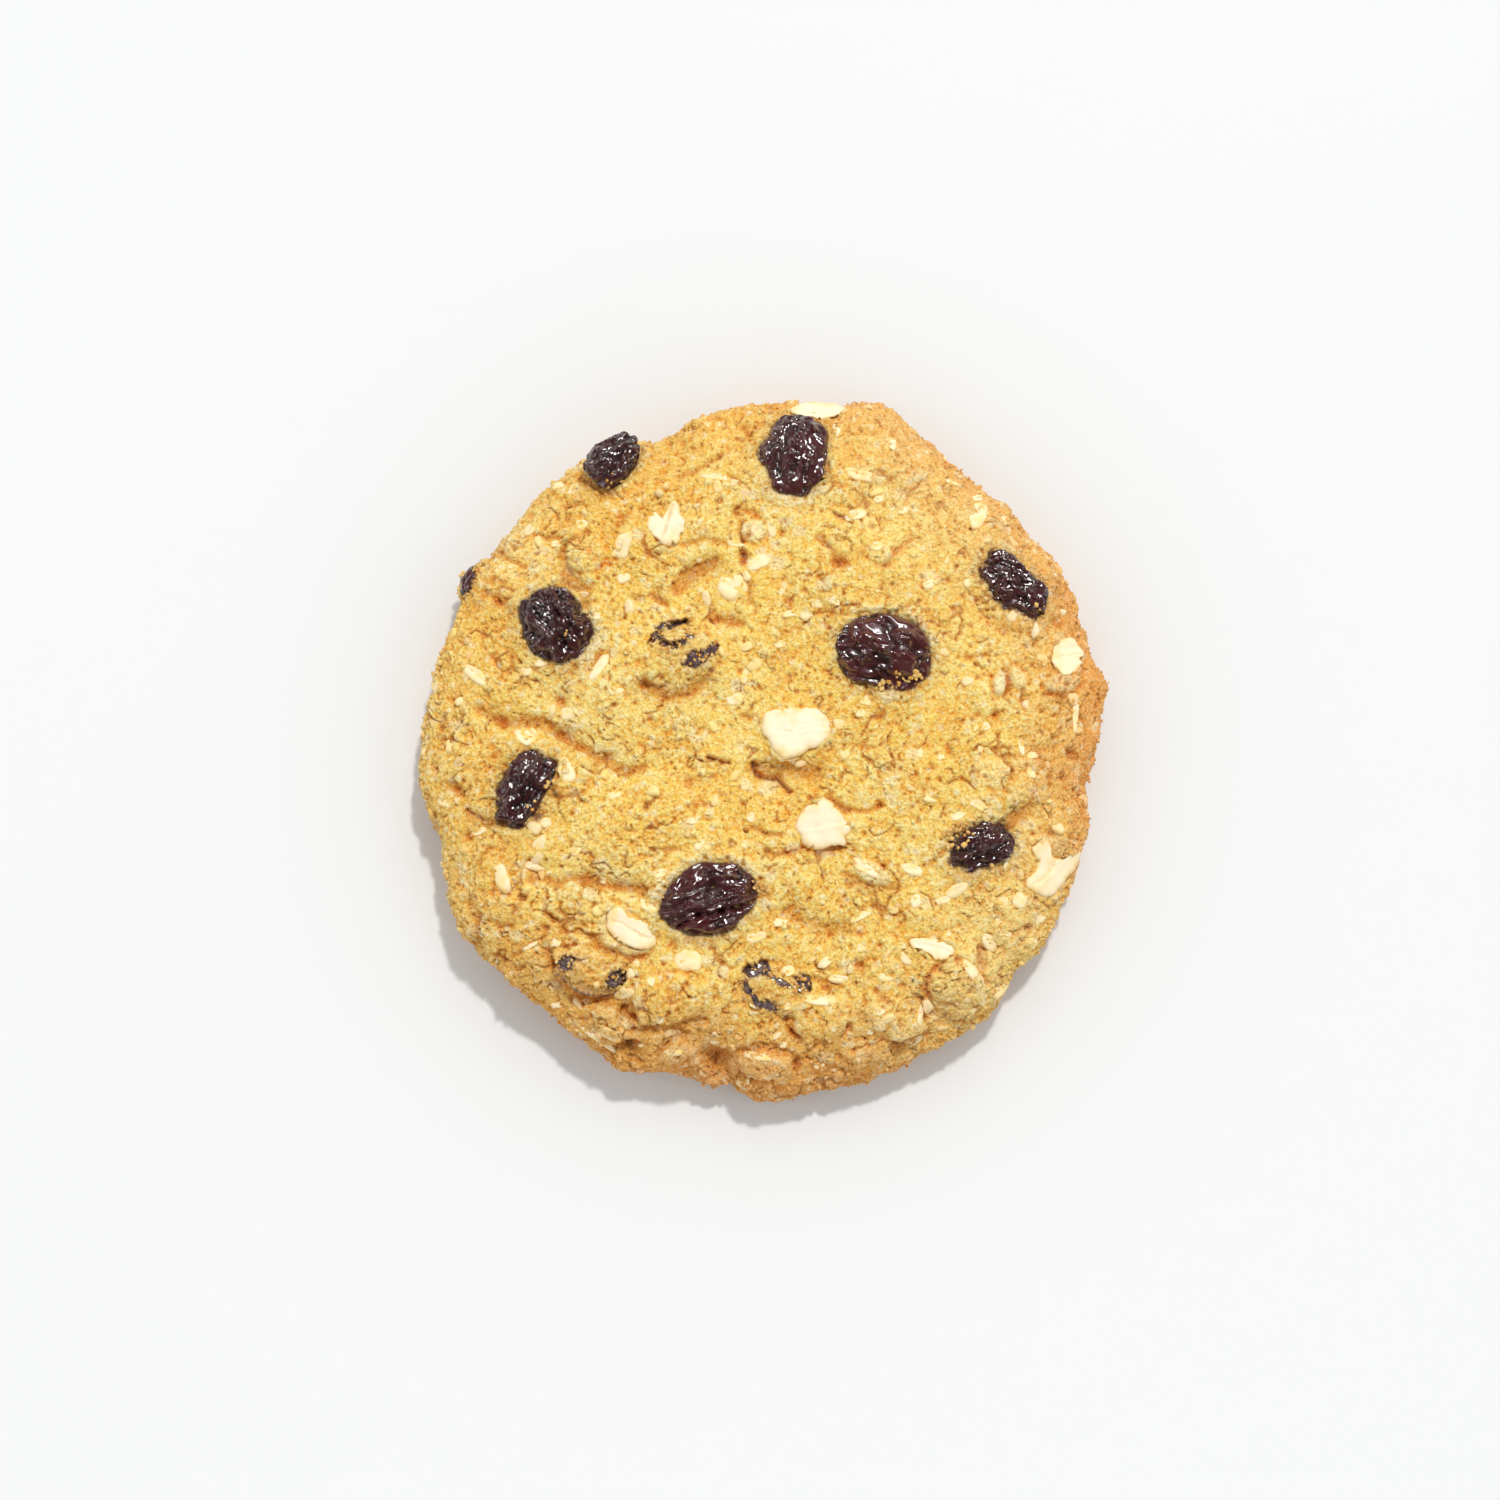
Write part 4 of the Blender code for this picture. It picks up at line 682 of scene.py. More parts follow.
# ================================================================= dough
TOP_RINGS, SIDE_RINGS, BASE_RINGS = 250, 34, 40
INNER_RINGS = 180


def ring_fractions(count):
    q = 1.0 - (1.0 - np.linspace(0.0, 1.0, 6000)) ** 2.0
    r, z = q * MEAN_RADIUS, crown(q, 0.0 * q)
    s = np.concatenate(([0.0], np.cumsum(np.hypot(np.diff(r), np.diff(z)))))
    return np.interp(np.linspace(0.0, s[-1], count + 1), s, q)


def disc_faces(starts, rings):
    """Triangles of a disc whose ring k has 6 k points."""
    out = []
    for k in range(1, rings + 1):
        outer, inner = 6 * k, max(6 * (k - 1), 1)
        for s in range(6):
            j = np.arange(k)
            a = starts[k] + (s * k + j) % outer
            b = starts[k] + (s * k + j + 1) % outer
            c = starts[k - 1] + (s * (k - 1) + j) % inner
            out.append(np.stack([c, a, b], axis=1))
            j = np.arange(k - 1)
            if len(j):
                b = starts[k] + (s * k + j + 1) % outer
                c = starts[k - 1] + (s * (k - 1) + j) % inner
                d = starts[k - 1] + (s * (k - 1) + j + 1) % inner
                out.append(np.stack([c, b, d], axis=1))
    return np.concatenate(out)


def base_dough():
    """Points and triangles of the plain form: crown, side and underside, one closed skin."""
    fractions = ring_fractions(TOP_RINGS)
    points, starts = [np.array([[0.0, 0.0, form_height_at(0.0, 0.0)]])], [0]
    count = 1
    for k in range(1, TOP_RINGS + 1):
        theta = np.arange(6 * k) * (2.0 * math.pi / (6 * k))
        r = rim_radius(theta) * fractions[k]
        x, y = r * np.cos(theta), r * np.sin(theta)
        starts.append(count)
        points.append(np.stack([x, y, form_height(x, y)], axis=1))
        count += 6 * k
    faces = [disc_faces(starts, TOP_RINGS)]
    zone = [np.zeros(count)]
    around = 6 * TOP_RINGS
    theta = np.arange(around) * (2.0 * math.pi / around)
    rim = rim_radius(theta)
    above = starts[TOP_RINGS]
    waist = points[-1][:, 2].copy()
    ring = np.arange(around)
    nxt = (ring + 1) % around
    for m in range(1, SIDE_RINGS + 1):
        t = 0.5 * math.pi * m / SIDE_RINGS
        inset = BASE_INSET * (1.0 - math.cos(t)) + 0.25 * math.sin(t) * np.sin(9 * theta + 3.0 * m / SIDE_RINGS)
        r = rim - np.clip(inset, 0.0, None)
        z = waist * (1.0 - math.sin(t)) if m < SIDE_RINGS else np.zeros(around)
        points.append(np.stack([r * np.cos(theta), r * np.sin(theta), z], axis=1))
        zone.append(np.full(around, m / SIDE_RINGS))
        faces.append(np.stack([above + ring, count + ring, count + nxt], axis=1))
        faces.append(np.stack([above + ring, count + nxt, above + nxt], axis=1))
        above = count
        count += around
    foot = points[-1]
    # underside: a disc of rings, joined to the foot by walking round both
    base_start = count
    base_rings = BASE_RINGS
    starts_b = []
    for k in range(0, base_rings + 1):
        starts_b.append(count)
        if k == 0:
            points.append(np.zeros((1, 3)))
            count += 1
            zone.append(np.full(1, 2.0))
            continue
        theta_k = np.arange(6 * k) * (2.0 * math.pi / (6 * k))
        r = (np.interp(theta_k, np.append(theta, 2 * math.pi), np.append(np.hypot(foot[:, 0], foot[:, 1]),
             np.hypot(foot[0, 0], foot[0, 1]))) - 0.35) * (k / base_rings)
        points.append(np.stack([r * np.cos(theta_k), r * np.sin(theta_k), np.zeros(6 * k)], axis=1))
        zone.append(np.full(6 * k, 2.0))
        count += 6 * k
    faces.append(disc_faces(starts_b, base_rings)[:, ::-1])
    inner_n, i, j, strip = 6 * base_rings, 0, 0, []
    while i < around or j < inner_n:
        a, b = above + i % around, starts_b[-1] + j % inner_n
        if j >= inner_n or (i < around and (i + 1) / around <= (j + 1) / inner_n):
            strip.append((a, b, above + (i + 1) % around))
            i += 1
        else:
            strip.append((a, b, starts_b[-1] + (j + 1) % inner_n))
            j += 1
    faces.append(np.array(strip, dtype=int))
    part = [np.where(np.arange(len(faces[0])) < 6 * INNER_RINGS ** 2, 0, 1)] + [np.full(len(f), 2) for f in faces[1:]]
    return np.concatenate(points), np.concatenate(faces), np.concatenate(zone), np.concatenate(part)


def closed_curve(points, count):
    """Catmull-Rom through the points, at even steps of arc."""
    pts = np.array(points, float)
    n = len(pts)
    out = []
    for i in range(n):
        a, b, c, d = pts[i - 1], pts[i], pts[(i + 1) % n], pts[(i + 2) % n]
        for t in np.linspace(0.0, 1.0, 12, endpoint=False):
            out.append(0.5 * ((2 * b) + (c - a) * t + (2 * a - 5 * b + 4 * c - d) * t * t + (3 * b - a - 3 * c + d) * t ** 3))
    out = np.array(out + [out[0]])
    s = np.concatenate(([0.0], np.cumsum(np.hypot(*np.diff(out, axis=0).T))))
    at = np.linspace(0.0, s[-1], count, endpoint=False)
    return np.stack([np.interp(at, s, out[:, 0]), np.interp(at, s, out[:, 1])], axis=1)


def inside_curve(x, y, points):
    """Depth inside a closed outline, negative outside, for the points near it."""
    curve = closed_curve(points, 64)
    depth = np.full(len(x), -9.0)
    lo, hi = curve.min(axis=0) - 1.0, curve.max(axis=0) + 1.0
    near = np.where((x > lo[0]) & (x < hi[0]) & (y > lo[1]) & (y < hi[1]))[0]
    px, py = x[near], y[near]
    inside = np.zeros(len(near), bool)
    best = np.full(len(near), 99.0)
    for a, b in zip(curve, np.roll(curve, -1, axis=0)):
        crosses = ((a[1] > py) != (b[1] > py)) & (px < (b[0] - a[0]) * (py - a[1]) / (b[1] - a[1] + 1e-12) + a[0])
        inside ^= crosses
        best = np.minimum(best, to_line(px, py, a[0], a[1], b[0], b[1])[0])
    depth[near] = np.where(inside, best, -best)
    return depth


def polyline_field(x, y, table_row):
    """Nearest distance to a bent line, and the side, for one row of CREASES."""
    best = np.full(len(x), 99.0)
    pts = table_row[3:]
    for k in range(0, len(pts) - 3, 2):
        dist, along, side = to_line(x, y, *pts[k:k + 4])
        best = np.minimum(best, dist)
    return best


def relative_heights(d, faces, steps):
    """How far each point stands above its surroundings, at several widths, in spreads."""
    ends = np.concatenate([faces[:, 0], faces[:, 1], faces[:, 2], faces[:, 1], faces[:, 2], faces[:, 0]])
    others = np.concatenate([faces[:, 1], faces[:, 2], faces[:, 0], faces[:, 0], faces[:, 1], faces[:, 2]])
    valence = np.bincount(ends, minlength=len(d)) + 2.0
    out, now, done = [], d.copy(), 0
    for step in steps:
        before = now
        while done < step:
            now = (2.0 * now + np.bincount(ends, weights=now[others], minlength=len(d))) / valence
            done += 1
        rel = before - now
        out.append(np.clip(rel / (np.std(rel) + 1e-9), -2.5, 2.5))
    return out


def build_dough():
    p0, faces, zone, part = base_dough()
    n0 = point_normals(p0, faces)
    top, base = zone < 0.5, zone > 1.5
    side = (zone > 0.0) & (zone <= 1.0)
    theta = np.arctan2(p0[:, 1], p0[:, 0])
    deg = np.degrees(theta) % 360.0
    q = np.hypot(p0[:, 0], p0[:, 1]) / rim_radius(theta)
    steep = smooth(0.75, 0.25, n0[:, 2])            # 1 on the shoulder and the side
    crag = np.where(base, 0.0, steep)
    bottom_rim = np.exp(-(((deg - 285.0 + 180.0) % 360.0 - 180.0) / 50.0) ** 2)

    # ---- uneven dough: lumps, clumps, grains
    warp = np.stack([fbm(p0 / 2.2 + 5.1 * k, 40 + k, 2) for k in range(3)], axis=1)
    w = p0 + 0.9 * warp
    d = 0.36 * fbm(p0 / 8.0, 11, 3) + 0.26 * fbm(p0 / 3.6, 12, 2)
    f1, f2, big = cells(w / 3.0, 21)
    clump_big = np.sqrt(np.clip(1.0 - (f1 / 0.95) ** 2, 0.0, 1.0))
    seam_big = 1.0 - smooth(0.0, 0.12, f2 - f1)
    g1, g2, mid = cells((w + 0.30 * warp) / 1.35, 22)
    clump_mid = np.sqrt(np.clip(1.0 - (g1 / 0.9) ** 2, 0.0, 1.0))
    seam_mid = 1.0 - smooth(0.0, 0.16, g2 - g1)
    h1, h2, small = cells((p0 + 0.35 * warp) / 0.66, 23)
    clump_small = np.sqrt(np.clip(1.0 - (h1 / 0.85) ** 2, 0.0, 1.0))
    e1, e2, grit = cells(p0 / 0.38, 24)
    clump_grit = np.sqrt(np.clip(1.0 - (e1 / 0.85) ** 2, 0.0, 1.0))
    patchy = smooth(-0.20, 0.32, fbm(p0 / 5.5, 31, 2))        # where the crumb is coarse
    rough = 0.30 + 0.65 * patchy + 0.60 * crag
    d += rough * (0.20 * (clump_big - 0.6) + 0.20 * (clump_mid - 0.6) + 0.17 * (clump_small - 0.6))
    d += 0.10 * (0.7 + rough) * (clump_grit - 0.6) + 0.10 * fbm(p0 / 0.55, 26, 2)
    # each lump stands a little higher or lower than its neighbours
    d += rough * (0.24 * (big - 0.5) + 0.24 * (mid - 0.5) + 0.16 * (small - 0.5)) + 0.09 * (0.7 + rough) * (grit - 0.5)
    seam_mask = smooth(0.0, 0.4, fbm(p0 / 4.0 + 7.0, 33, 2))
    d -= 0.20 * rough * seam_big * seam_mask + 0.05 * rough * seam_mid
    # fine wandering cracks
    crack_n = np.abs(gradient_noise(w / 3.4 + 2.0, 51))
    crack = np.exp(-(crack_n / 0.028) ** 2) * smooth(0.08, 0.30, fbm(p0 / 6.0 + 3.0, 52, 2))
    crack_n = np.abs(gradient_noise(w / 1.9 + 9.0, 53))
    crack = np.maximum(crack, np.exp(-(crack_n / 0.04) ** 2) * smooth(0.12, 0.34, fbm(p0 / 3.0 + 11.0, 54, 2)))
    crack_n = np.abs(gradient_noise(w / np.array([1.5, 1.0, 1.0]) + 4.0, 55))
    crack = np.maximum(crack, 0.8 * np.exp(-(crack_n / 0.045) ** 2) * smooth(0.27, 0.45, fbm(p0 / 1.7 + 6.0, 56, 2)))
    d -= 0.40 * crack * (1.0 + crag)
    # pinholes
    k1, k2, pick = cells(p0 / 1.45, 61)
    hole = np.exp(-(k1 * 1.45 / (0.14 + 0.14 * pick)) ** 2) * (pick > 0.52)
    k1, k2, pick = cells(p0 / 0.80, 62)
    hole = np.maximum(hole, 0.8 * np.exp(-(k1 * 0.80 / (0.11 + 0.08 * pick)) ** 2) * (pick > 0.66))
    d -= 0.48 * hole

    # ---- craggy side wall and its lower lip
    if np.any(side):
        s1, s2, cid = cells((p0 + 1.2 * warp) / np.array([4.4, 4.4, 2.6]), 71)
        d += crag * 0.55 * (np.sqrt(np.clip(1.0 - (s1 / 0.95) ** 2, 0.0, 1.0)) - 0.62)
        s1, s2, cid = cells((p0 + 0.8 * warp) / np.array([2.4, 2.4, 1.7]), 72)
        d += crag * 0.34 * (np.sqrt(np.clip(1.0 - (s1 / 0.9) ** 2, 0.0, 1.0)) - 0.62)
        wave = 0.5 * gradient_noise(np.stack([p0[:, 0], p0[:, 1], 0 * theta], axis=1) / 5.0, 75)
        groove = np.exp(-((p0[:, 2] - 2.5 - wave) / 0.5) ** 2) * crag
        d -= (0.25 + 0.45 * bottom_rim) * groove

    # big lumps pressed together round the lower rim
    low_side = np.exp(-(((deg - 268.0 + 180.0) % 360.0 - 180.0) / 78.0) ** 2)
    lumpy_zone = smooth(0.60, 0.86, q) * (0.25 + 0.75 * low_side) * np.where(base, 0.0, 1.0)
    l1, l2, lump_id = cells((p0 + 2.6 * warp) / 5.6, 27)
    joint = 1.0 - smooth(0.0, 0.055, l2 - l1)
    joint = joint * smooth(-0.30, 0.25, warp[:, 0])
    d += lumpy_zone * (0.46 * (np.sqrt(np.clip(1.0 - (l1 / 0.95) ** 2, 0.0, 1.0)) - 0.62) + 0.40 * (lump_id - 0.5) - 0.36 * joint)

    # ---- named marks
    x, y = p0[:, 0] + 0.28 * warp[:, 0], p0[:, 1] + 0.28 * warp[:, 1]
    lid = np.where(base | (side & (zone > 0.4)), 0.0, 1.0)
    # painted shade, gathered here for the creases, pits, plate rims and the joints of the lower rim's lumps
    crease_shade, plate_pale = 0.75 * lumpy_zone * joint * np.clip(0.35 + 1.6 * warp[:, 1], 0.0, 1.0), np.zeros(len(p0))
    for row in CREASES:
        half, depth, shade = row[0], row[1], row[2]
        dist = polyline_field(x, y, row)
        ragged = half * (0.75 + 0.9 * np.clip(0.5 + warp[:, 2], 0.0, 1.0))
        k = np.exp(-(dist / ragged) ** 2) * lid
        d -= 0.85 * depth * k
        crease_shade = np.maximum(crease_shade, shade * np.exp(-(dist / (0.85 * ragged)) ** 2) * lid)
    for px, py, radius, depth, shade in PITS:
        dist = np.hypot(x - px, y - py)
        ragged = radius * (0.75 + 0.9 * np.clip(0.5 + warp[:, 2], 0.0, 1.0))
        k = np.exp(-(dist / ragged) ** 2) * lid
        d -= depth * k
        crease_shade = np.maximum(crease_shade, shade * k)
    for px, py, a, b, yaw, height, sharp, pale in PLATES:
        t = math.radians(yaw)
        u = ((x - px) * math.cos(t) + (y - py) * math.sin(t)) / a
        v = (-(x - px) * math.sin(t) + (y - py) * math.cos(t)) / b
        k = 1.0 / (1.0 + (u * u + v * v) ** (1.6 * sharp)) * lid
        d += height * k
        # a shallow groove round each plate's edge, with a ring of painted shade in it
        rim = np.exp(-(((np.sqrt(u * u + v * v) - 1.16) * math.sqrt(a * b)) / 0.34) ** 2) * lid * smooth(-0.15, 0.15, warp[:, 0])
        d -= (0.9 if sharp > 2.3 else 0.45) * height * rim
        crease_shade = np.maximum(crease_shade, (0.62 if sharp > 2.3 else 0.2) * rim * smooth(-0.05, 0.3, warp[:, 2] + 0.1))
        plate_pale = np.where(k > 0.3, plate_pale + pale * smooth(0.3, 0.8, k), plate_pale)

    # seats of the large flakes: level places, a little sunk
    seat = np.zeros(len(p0))
    level = 0.36 * fbm(p0 / 8.0, 11, 3)
    for row in LARGE_FLAKES:
        depth = inside_curve(p0[:, 0], p0[:, 1], row[5:])
        k = smooth(-0.35, 0.15, depth) * lid
        d = d * (1.0 - k) + (level - 0.05) * k
        seat = np.maximum(seat, k)
        crease_shade = crease_shade * (1.0 - k)
        # a little dough lies over the edge of the leaf
        over = smooth(0.02, 0.22, gradient_noise(p0 / 1.9, 77)) * smooth(0.80, 0.25, depth) * smooth(-0.7, -0.25, depth) * lid
        d += 0.62 * over
    d = np.where(base, 0.0, d)
    foot = smooth(1.0, 0.82, zone)                    # the foot settles on the tray
    d = np.where(side, d * (0.15 + 0.85 * foot), d)
    d -= 0.10
    p = p0 + n0 * d[:, None]
    # a little sideways drift makes the clumps overhang
    p += 0.10 * warp * np.where(base, 0.0, 1.0)[:, None]
    flat = base | (side & (zone > 0.97))
    p[base, 2] = 0.10 * np.abs(gradient_noise(p0[base] / 2.5, 81)) + 0.05 * np.abs(gradient_noise(p0[base] / 0.9, 82))
    p[:, 2] = np.where(flat & ~base, 0.0, np.maximum(p[:, 2], 0.02 * (~flat)))

    # ---- pockets of the raisins
    # two fields of painted shade round the raisins: a dark gap where the dough meets the fruit, and a wider halo of
    # shade and stain
    fruit_shade_and_stain, contact_shade = np.zeros(len(p)), np.zeros(len(p))
    for row in RAISINS:
        name, rx, ry, length, width = row[0], row[1], row[2], row[3], row[4]
        tree = RAISIN_TREES[name]
        near = np.where(top | (side & (zone < 0.85)))[0]
        near = near[np.hypot(p[near, 0] - rx, p[near, 1] - ry) < 0.5 * length + 3.2]
        buried = name in ("raisin_09", "raisin_10", "raisin_11", "raisin_12")
        opened = np.full(len(near), -9.0)
        if buried:
            for who, ox, oy, a, b, yaw in OPENINGS:
                if who != name:
                    continue
                t = math.radians(yaw)
                ex, ey = p[near, 0] + 0.30 * warp[near, 0], p[near, 1] + 0.30 * warp[near, 1]
                u = ((ex - ox) * math.cos(t) + (ey - oy) * math.sin(t)) / a
                v = (-(ex - ox) * math.sin(t) + (ey - oy) * math.cos(t)) / b
                opened = np.maximum(opened, (1.0 - np.sqrt(u * u + v * v)) * math.sqrt(a * b))
            opened += 0.70 * gradient_noise(p[near] / 1.0, 91) + 0.60 * gradient_noise(p[near] / 0.42, 92)
        for at, index in enumerate(near):
            here = Vector(p[index])
            if buried and (name != "raisin_10" or top[index]):
                hit = tree.ray_cast(here + Vector((0, 0, 9.0)), Vector((0, 0, -1.0)), 20.0)[0]
                if hit is None:
                    continue
                low = tree.ray_cast(here - Vector((0, 0, 12.0)), Vector((0, 0, 1.0)), 24.0)[0]
                if opened[at] > 0.0:
                    p[index, 2] = min(p[index, 2], hit.z - min(0.45, 0.12 + 0.6 * opened[at]))
                    contact_shade[index] = 0.62
                else:
                    p[index, 2] = max(p[index, 2], hit.z + 0.16 + 0.10 * small[index])
                    fruit_shade_and_stain[index] = max(fruit_shade_and_stain[index], 0.22, 0.95 * math.exp(max(opened[at], -5.0) / 0.55))
                    contact_shade[index] = max(contact_shade[index], 0.55 * math.exp(opened[at] / 0.10))
                continue
            far = tree.find_nearest(here)[3]
            above = tree.ray_cast(here + Vector((0, 0, 14.0)), Vector((0, 0, -1.0)), 28.0)[0]
            low = tree.ray_cast(here - Vector((0, 0, 14.0)), Vector((0, 0, 1.0)), 28.0)[0] if above is not None else None
            inside = low is not None and low.z < here.z < above.z
            gap = -far if inside else far
            if gap < -0.45:
                p[index, 2] = min(p[index, 2], max(low.z - 0.25, 0.3))
                contact_shade[index] = 1.0
            else:
                contact_shade[index] = max(contact_shade[index], math.exp(-max(gap, 0.0) / 0.28))
                fruit_shade_and_stain[index] = max(fruit_shade_and_stain[index], 0.46 * math.exp(-max(gap, 0.0) / 1.1))
                # a low ragged lip where the dough closed round the fruit
                p[index] += n0[index] * (0.30 * math.exp(-((gap - 0.9) / 0.6) ** 2) * (0.5 + small[index]))
    stamp("dough shaped")
    lows = relative_heights(np.where(base, 0.0, ((p - p0) * n0).sum(axis=1)), faces, (3, 16, 70))
    stamp("hollows found")
    fields = dict(lows=lows, crease_shade=crease_shade, pale=plate_pale, clump=big, mid=mid, small=small, hole=hole, crack=crack, seam=seam_mid,
                  seam_big=seam_big * seam_mask, high=clump_mid, contact_shade=contact_shade, fruit_shade_and_stain=fruit_shade_and_stain, crag=crag, q=q, deg=deg,
                  zone=zone, warp=warp, patchy=patchy, steep=steep, fine=clump_small,
                  grit=grit, grain=clump_grit, seat=seat)
    return p0, p, faces, part, fields


def blend3(a, b, k):
    """Colours a towards b by k, on arrays."""
    k = np.clip(k, 0.0, 1.0)[:, None]
    return a * (1.0 - k) + np.asarray(b, float) * k


def dough_tint(p, f):
    """Colour of every point, linear: baked colour, with painted light on the rises and painted shade in the hollows,
    creases and round the fruit.
    """
    deg, q = f["deg"], f["q"]
    n = len(p)
    broad = fbm(p / 13.0, 201, 3)
    speck = fbm(p / 1.1, 202, 2)
    near, mid_w, wide = f["lows"]
    # the tone is random baked tone, with painted light on the rises and painted shade in the hollows
    tone = 0.54 + 0.30 * broad + 0.08 * (f["clump"] - 0.5) + 0.10 * (f["mid"] - 0.5) + 0.10 * (f["small"] - 0.5) \
        + 0.10 * (f["grit"] - 0.5) + 0.10 * speck + 0.085 * near + 0.085 * mid_w + 0.055 * wide
    stops = np.array([0.0, 0.25, 0.55, 0.80, 1.0])
    ramp = np.array([(0.84, 0.325, 0.028), (0.93, 0.515, 0.070), (0.965, 0.670, 0.143), (0.980, 0.775, 0.28), (0.985, 0.860, 0.51)])
    tone = np.clip(tone, 0.0, 1.0)
    col = np.stack([np.interp(tone, stops, ramp[:, k]) for k in range(3)], axis=1)
    # each grain is a little paler or duller than the next, and grains that stand higher are paler, which is painted
    # light
    grain_tone = np.clip(1.1 * (f["grit"] - 0.5) + 0.22 * near, -0.8, 0.8)
    col = blend3(col, (0.99, 0.88, 0.55), 0.34 * np.clip(grain_tone, 0.0, 1.0))
    col = col * (1.0 - np.clip(-grain_tone, 0.0, 1.0)[:, None] * np.array([0.06, 0.23, 0.40]))
    # painted shade: the hollows are a deeper orange, standing in for light that has passed through the dough
    hollow_shade = 0.5 * np.clip(-near, 0.0, 2.2) + 0.5 * np.clip(-mid_w, 0.0, 2.2) + 0.35 * np.clip(-wide, 0.0, 2.2)
    col = col * (1.0 - hollow_shade[:, None] * np.array([0.0, 0.195, 0.36]))

    def near_dir(at, half):
        return np.exp(-(((deg - at + 180.0) % 360.0 - 180.0) / half) ** 2)
    # the rim is browner at the right, the upper right and along the bottom; along the bottom, the side away from the
    # light, part of the brown is painted shade
    rim_brown_and_shade = 0.70 * near_dir(4, 32) + 0.26 * near_dir(66, 22) + 0.76 * near_dir(272, 30) - 0.26 * near_dir(318, 22) \
        + 0.28 * near_dir(235, 26) + 0.20
    edge = smooth(0.66, 1.0, q + 0.10 * fbm(p / 6.0, 205, 2)) * rim_brown_and_shade
    edge = np.maximum(edge, 0.0) + 0.34 * smooth(0.90, 1.0, q + 0.05 * fbm(p / 4.0, 206, 2)) * near_dir(38, 46)
    # browner low on the steep side wall: baked browning, partly painted shade under the shoulder
    low = f["steep"] * smooth(9.5, 1.5, p[:, 2])
    browning_and_shade = np.clip(np.maximum(edge, 0.0) + 0.56 * low, 0.0, 1.0)
    col = blend3(col, (0.83, 0.325, 0.070), 0.80 * browning_and_shade)
    # bits
    c1, c2, pick = cells(p / 0.95, 207)
    grain = smooth(0.62, 0.25, c1)
    col = blend3(col, (0.965, 0.86, 0.58), 0.62 * grain * (pick > 0.885))
    col = blend3(col, (0.60, 0.27, 0.06), 0.45 * grain * (pick < 0.05))
    c1, c2, pick = cells(p / np.array([2.3, 1.7, 1.7]) + 0.35 * f["warp"], 209)
    col = blend3(col, (0.965, 0.84, 0.53), 0.60 * smooth(0.60, 0.38, c1) * (pick > 0.93) * (1.0 - 0.5 * browning_and_shade))
    # covered flakes; painted shade in the seams, cracks and pinholes; pools of painted shade and stain; painted shade
    # round the fruit
    col = blend3(col, (0.965, 0.84, 0.52), np.clip(f["pale"], 0.0, 1.0) * 0.8)
    col = blend3(col, (0.60, 0.31, 0.11), np.clip(-f["pale"], 0.0, 1.0) * 0.8)
    col = blend3(col, (0.76, 0.30, 0.035), 0.22 * f["seam"] * f["patchy"] + 0.30 * f["seam_big"])
    col = blend3(col, (0.54, 0.19, 0.026), 0.88 * f["hole"] + 0.80 * f["crack"])
    # painted shade in the creases and pits, near black in the deepest
    col = blend3(col, (0.60, 0.25, 0.040), 0.58 * np.clip(f["crease_shade"], 0.0, 1.0))
    col = blend3(col, (0.13, 0.042, 0.014), 0.85 * smooth(0.95, 1.5, f["crease_shade"]))
    pool = np.zeros(n)
    for sx, sy, a, b, yaw, strength in SHADE_AND_STAIN_POOLS:
        t = math.radians(yaw)
        u = ((p[:, 0] - sx) * math.cos(t) + (p[:, 1] - sy) * math.sin(t)) / a
        v = (-(p[:, 0] - sx) * math.sin(t) + (p[:, 1] - sy) * math.cos(t)) / b
        pool = np.maximum(pool, strength * np.exp(-(u * u + v * v) ** 1.2))
    pool *= np.where(f["zone"] > 1.5, 0.0, 1.0)
    # pools of painted shade and stain, near black in their middles
    col = blend3(col, (0.60, 0.235, 0.032), 0.62 * pool)
    col = blend3(col, (0.16, 0.055, 0.018), 0.75 * smooth(0.72, 1.0, pool + 0.12 * speck))
    # painted shade and stain in a ragged halo beside the fruit
    ragged = 0.5 + 1.1 * speck
    col = blend3(col, (0.50, 0.20, 0.045), 0.80 * f["fruit_shade_and_stain"] * np.clip(ragged + 0.25, 0.2, 1.0))
    col = blend3(col, (0.150, 0.062, 0.040), 0.85 * smooth(0.64, 0.95, f["fruit_shade_and_stain"] + 0.35 * (ragged - 0.5)))
    # painted shade: the dark gap where the dough meets the fruit
    col = blend3(col, (0.150, 0.048, 0.013), 0.92 * smooth(0.30, 0.90, f["contact_shade"]))
    col = blend3(col, (0.985, 0.80, 0.40), 0.30 * near_dir(318, 22) * smooth(0.62, 0.95, q) * (1.0 - np.clip(f["steep"], 0.0, 1.0)))
    col = blend3(col, (0.985, 0.82, 0.42), 0.16 * near_dir(50, 26) * smooth(0.45, 0.85, q))
    col = col * np.array([0.925, 0.945, 0.890])
    # underside: evenly browned, darker towards its rim
    base = f["zone"] > 1.5
    r = np.hypot(p[:, 0], p[:, 1]) / MEAN_RADIUS
    mottle = 0.5 + 0.9 * fbm(p / 4.0, 211, 3)
    under = blend3(np.tile(np.array([0.56, 0.29, 0.095]), (n, 1)), (0.36, 0.155, 0.045), np.clip(mottle, 0, 1) * 0.7)
    under = blend3(under, (0.30, 0.125, 0.038), smooth(0.75, 1.0, r) * 0.5)
    col = np.where(base[:, None], under, col)
    return np.clip(col, 0.0, 1.0)


